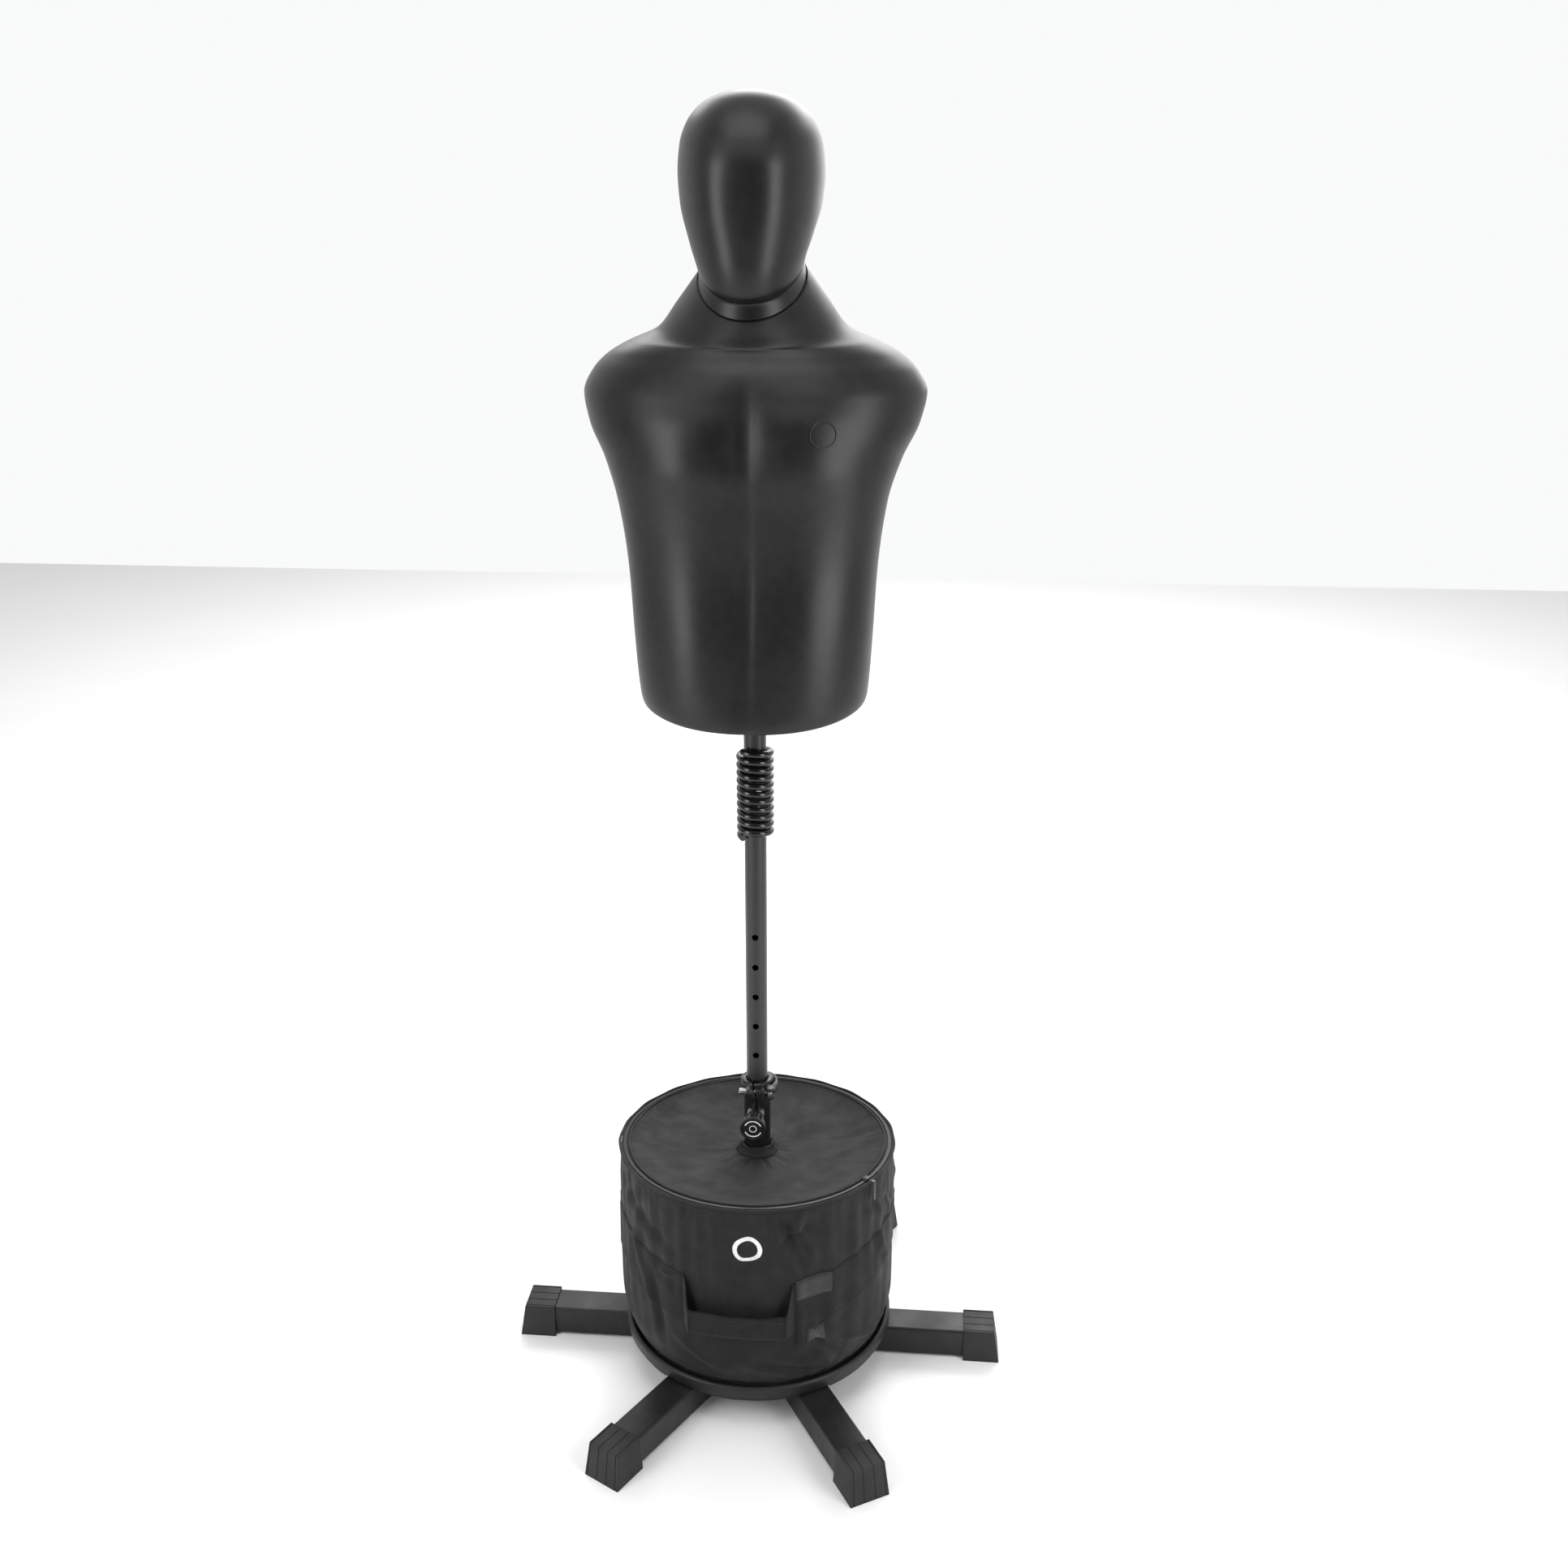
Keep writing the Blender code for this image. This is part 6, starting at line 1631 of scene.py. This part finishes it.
# %% Trees for teeth and stitches
def walk_tree(name, shape, mat):
    """A shape repeated along the edges of a path: a box for teeth, a thread for stitches."""
    tree, start, end = tree_with(name, ("Pitch", 0.004), ("Long", 0.003), ("Wide", 0.0005), ("Tall", 0.0005))
    path = tree.nodes.new("GeometryNodeMeshToCurve")
    steps = tree.nodes.new("GeometryNodeCurveToPoints")
    steps.mode = "LENGTH"
    aim = tree.nodes.new("FunctionNodeAlignRotationToVector")
    aim.axis = "X" if shape == "box" else "Z"
    place = tree.nodes.new("GeometryNodeInstanceOnPoints")
    tree.links.new(start.outputs["Geometry"], path.inputs[0])
    tree.links.new(path.outputs[0], steps.inputs["Curve"])
    tree.links.new(start.outputs["Pitch"], steps.inputs["Length"])
    tree.links.new(steps.outputs["Tangent"], aim.inputs["Vector"])
    tree.links.new(steps.outputs["Points"], place.inputs["Points"])
    tree.links.new(aim.outputs["Rotation"], place.inputs["Rotation"])
    if shape == "box":
        tooth = tree.nodes.new("GeometryNodeMeshCube")
        size = tree.nodes.new("ShaderNodeCombineXYZ")
        for socket, label in zip(size.inputs, ("Long", "Wide", "Tall")):
            tree.links.new(start.outputs[label], socket)
        tree.links.new(size.outputs[0], tooth.inputs["Size"])
    else:
        tooth = tree.nodes.new("GeometryNodeMeshCylinder")
        tooth.inputs["Vertices"].default_value = 6
        tree.links.new(start.outputs["Wide"], tooth.inputs["Radius"])
        tree.links.new(start.outputs["Long"], tooth.inputs["Depth"])
    tree.links.new(tooth.outputs[0], place.inputs["Instance"])
    return finish_tree(tree, place.outputs[0], end, mat)


STITCH_TREE = walk_tree("stitches", "thread", THREAD)
TEETH_TREE = walk_tree("teeth", "box", ZIP_TEETH)


def path_piece(name, lines):
    """A mesh of bare edges, one chain for each line of points. A line may be closed."""
    verts, edges = [], []
    for points, closed in lines:
        first = len(verts)
        verts += [tuple(p) for p in points]
        edges += [(first + i, first + i + 1) for i in range(len(points) - 1)]
        if closed:
            edges.append((len(verts) - 1, first))
    mesh = bpy.data.meshes.new(name)
    mesh.from_pydata(verts, edges, [])
    return linked(bpy.data.objects.new(name, mesh))


# %% Zip
TEETH_RADIUS = 0.2035
TEETH_PITCH = 0.0018


def rim_line(radius, height, steps=512):
    """A closed line of points at the rim."""
    return [(*from_front(radius, a), height + LID_SLOPE * radius * math.cos(a)) for a in angles(steps)]


teeth_path = path_piece("zip_teeth", [(rim_line(TEETH_RADIUS, RIM_HEIGHT + 0.0008), True)])
teeth = grown("zip_teeth", TEETH_TREE, teeth_path, Pitch=TEETH_PITCH, Long=0.0011, Wide=0.0042, Tall=0.0012)
fit(teeth, "base", "bag_fabric")
TAPE_SECTION = (
    # radius, height above the tape's underside
    (0.1975, 0.0), (0.1975, 0.0012), (0.2000, 0.0014), (0.2020, 0.0008),
    (0.2050, 0.0008), (0.2072, 0.0014), (0.2094, 0.0012), (0.2094, 0.0),
)
tape_rings = [rim_line(r, RIM_HEIGHT - 0.0014 + lift, 256) for r, lift in TAPE_SECTION]
tape = ringed("zip_cloth", tape_rings, PIPING, loop=True)
fit(tape, "base", "bag_fabric", "zip_tape")
print("zip:", len(teeth.data.polygons) // 6, "teeth")

# %% Stitches
STITCH_PITCH = 0.0046
STITCH_LONG = 0.0034
STITCH_THICK = 0.00032
STITCH = {"Pitch": STITCH_PITCH, "Long": STITCH_LONG, "Wide": STITCH_THICK}
SEAM_IN = 0.0035
PATCH_SEAM_IN = 0.0018
GRIP_SEAM = 0.0135
BAND_END_SEAM = 0.012
RIM_SEAM_DROP = 0.0065
FOOT_SEAM_RISE = 0.016
ON_BAND = BAND_THICK + 0.0001


def wall_line(first, last, height, lift, steps):
    """A line of points on the wall at a height that may change with the angle."""
    return [on_wall(a, height(a), lift)
            for a in (first + (last - first) * i / steps for i in range(steps + 1))]


stitch_lines = []
for first, last in band_edges.values():
    stitch_lines += [(wall_line(first, last, lambda a: band_upper(a) - SEAM_IN, ON_BAND, 260), False),
                     (wall_line(first, last, lambda a: band_lower(a) + SEAM_IN, ON_BAND, 260), False)]
    for end, inward in ((first, 1), (last, -1)):
        angle = end + inward * BAND_END_SEAM
        heights = np.linspace(band_lower(angle) + SEAM_IN, band_upper(angle) - SEAM_IN, 24)
        stitch_lines.append(([on_wall(angle, z, ON_BAND) for z in heights], False))
for seam in (lambda a: RIM_HEIGHT - RIM_SEAM_DROP + LID_SLOPE * 0.205 * math.cos(a),
             lambda a: BAG_FOOT + FOOT_SEAM_RISE):
    stitch_lines.append((wall_line(0, 2 * math.pi, seam, 0.0001, 380)[:-1], True))
for (a0, a1, z0, z1), lift in ((PATCH_HIGH, BAND_THICK + PATCH_THICK), (PATCH_LOW, PATCH_THICK)):
    a0, a1, z0, z1 = a0 + 0.5, a1 - 0.5, z0 + PATCH_SEAM_IN, z1 - PATCH_SEAM_IN
    corners = [(a0, z0), (a1, z0), (a1, z1), (a0, z1)]
    around = [(p[0] + (q[0] - p[0]) * k / 12, p[1] + (q[1] - p[1]) * k / 12)
              for p, q in zip(corners, corners[1:] + corners[:1]) for k in range(12)]
    stitch_lines.append(([on_wall(math.radians(a), z, lift) for a, z in around], True))
stitches = grown("wall_stitches", STITCH_TREE, path_piece("wall_stitches", stitch_lines), **STITCH)
fit(stitches, "base", "webbing")


def on_lid(x, y, lift):
    """The lid's point at a place, lifted off the cloth."""
    hit, _, _, _ = lid_tree.ray_cast(Vector((x, y, 1)), Vector((0, 0, -1)))
    return hit + Vector((0, 0, lift))


lid_lines = [([on_lid(*from_front(r, a), 0.0002) for a in np.linspace(0, 2 * math.pi, n, False)], True)
             for r, n in ((0.1915, 360), (0.0345, 90))]
lid_stitches = grown("lid_stitches", STITCH_TREE, path_piece("lid_stitches", lid_lines), **STITCH)
fit(lid_stitches, "base", "webbing")


def grip_line(middle, height):
    """A line of stitches along the outside of a grip."""
    out = GRIP_INNER + GRIP_THICK + 0.0001
    return [(*from_front(out, middle + share * GRIP_HALF), height + GRIP_ARCH * (1 - share**2))
            for share in np.linspace(-0.97, 0.97, 60)]


for side_name, middle in HANDLE_MIDDLES.items():
    name = side_name + "_grip_stitches"
    rows = [(grip_line(middle, GRIP_MIDDLE + offset), False) for offset in (-GRIP_SEAM, GRIP_SEAM)]
    fit(grown(name, STITCH_TREE, path_piece(name, rows), **STITCH), side_name + "_grip", "webbing")
print("stitches:", *[len(piece.data.polygons) // 8 for piece in (stitches, lid_stitches)])

# %% [markdown]
# ## The sand sack
# Inside the bag is a ring-shaped sack of sand round the outer tube. It does not show, but a copy
# with the lid open would, so it is a lumpy, heavy ring and not a drum.


# %% Sand sack
SACK_HOLE = 0.0262


def sack_rings():
    """The sack's section, swept round the tube with soft lumps."""
    low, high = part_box("ballast_sack")
    outside = high.x
    bottom, top = low.z, high.z
    rings = []
    for a in angles(160):
        ring = []
        for t in angles(64):
            c, s = math.cos(t), math.sin(t)
            r = ((outside + SACK_HOLE) / 2
                 + (outside - SACK_HOLE) / 2 * math.copysign(abs(c) ** 0.4, c))
            z = (bottom + top) / 2 + (top - bottom) / 2 * math.copysign(abs(s) ** 0.4, s)
            lump = 0.0030 * math.sin(5 * a + 3 * t) + 0.0022 * math.sin(11 * a - 2 * t + 1) - 0.0055
            r += (lump if c > 0 else 0.0) * abs(c)
            z += lump * s if s > 0 else 0.0
            ring.append((*from_front(r, a), z))
        rings.append(ring)
    return rings


sack = ringed("sand_ring", sack_rings(), SAND_CLOTH, loop=True)
sack.data.shade_smooth()
fit(sack, "base", "sand", "ballast_sack")
print("sand sack:", len(sack.data.vertices), "points")

# %% [markdown]
# ## Finishes on the mechanical parts that stay
# Plain hidden or exact parts keep their own mesh and only get a finish.

# %% Finishes on kept nodes
KEPT = {
    "hub": COAT, "guide_bush": BUSH_PLASTIC, "mast_foot": BUSH_PLASTIC, "clamp_washer": BUSH_PLASTIC,
    "clamp_skewer": ZINC, "lock_pin": ZINC, "post_socket": ZINC, "torso_plate": PLY,
    **{f"leg_bolt_{n}": ZINC for n in range(1, 7)}, **{f"plate_screw_{n}": ZINC for n in range(1, 5)},
}
for node, mat in KEPT.items():
    kept_mesh = frame["nodes"][node].data
    kept_mesh.materials.clear()
    kept_mesh.materials.append(mat)
print(len(KEPT), "mechanical parts finished")

# %% [markdown]
# ## Floor
# A pale plain floor takes the shadow.

# %% Floor
FLOOR_REACH = 6
floor_corners = [(x * FLOOR_REACH, y * FLOOR_REACH, 0) for x, y in ((-1, -1), (1, -1), (1, 1), (-1, 1))]
floor = new_piece("floor", floor_corners, [(0, 1, 2, 3)], FLOOR, smooth=False)
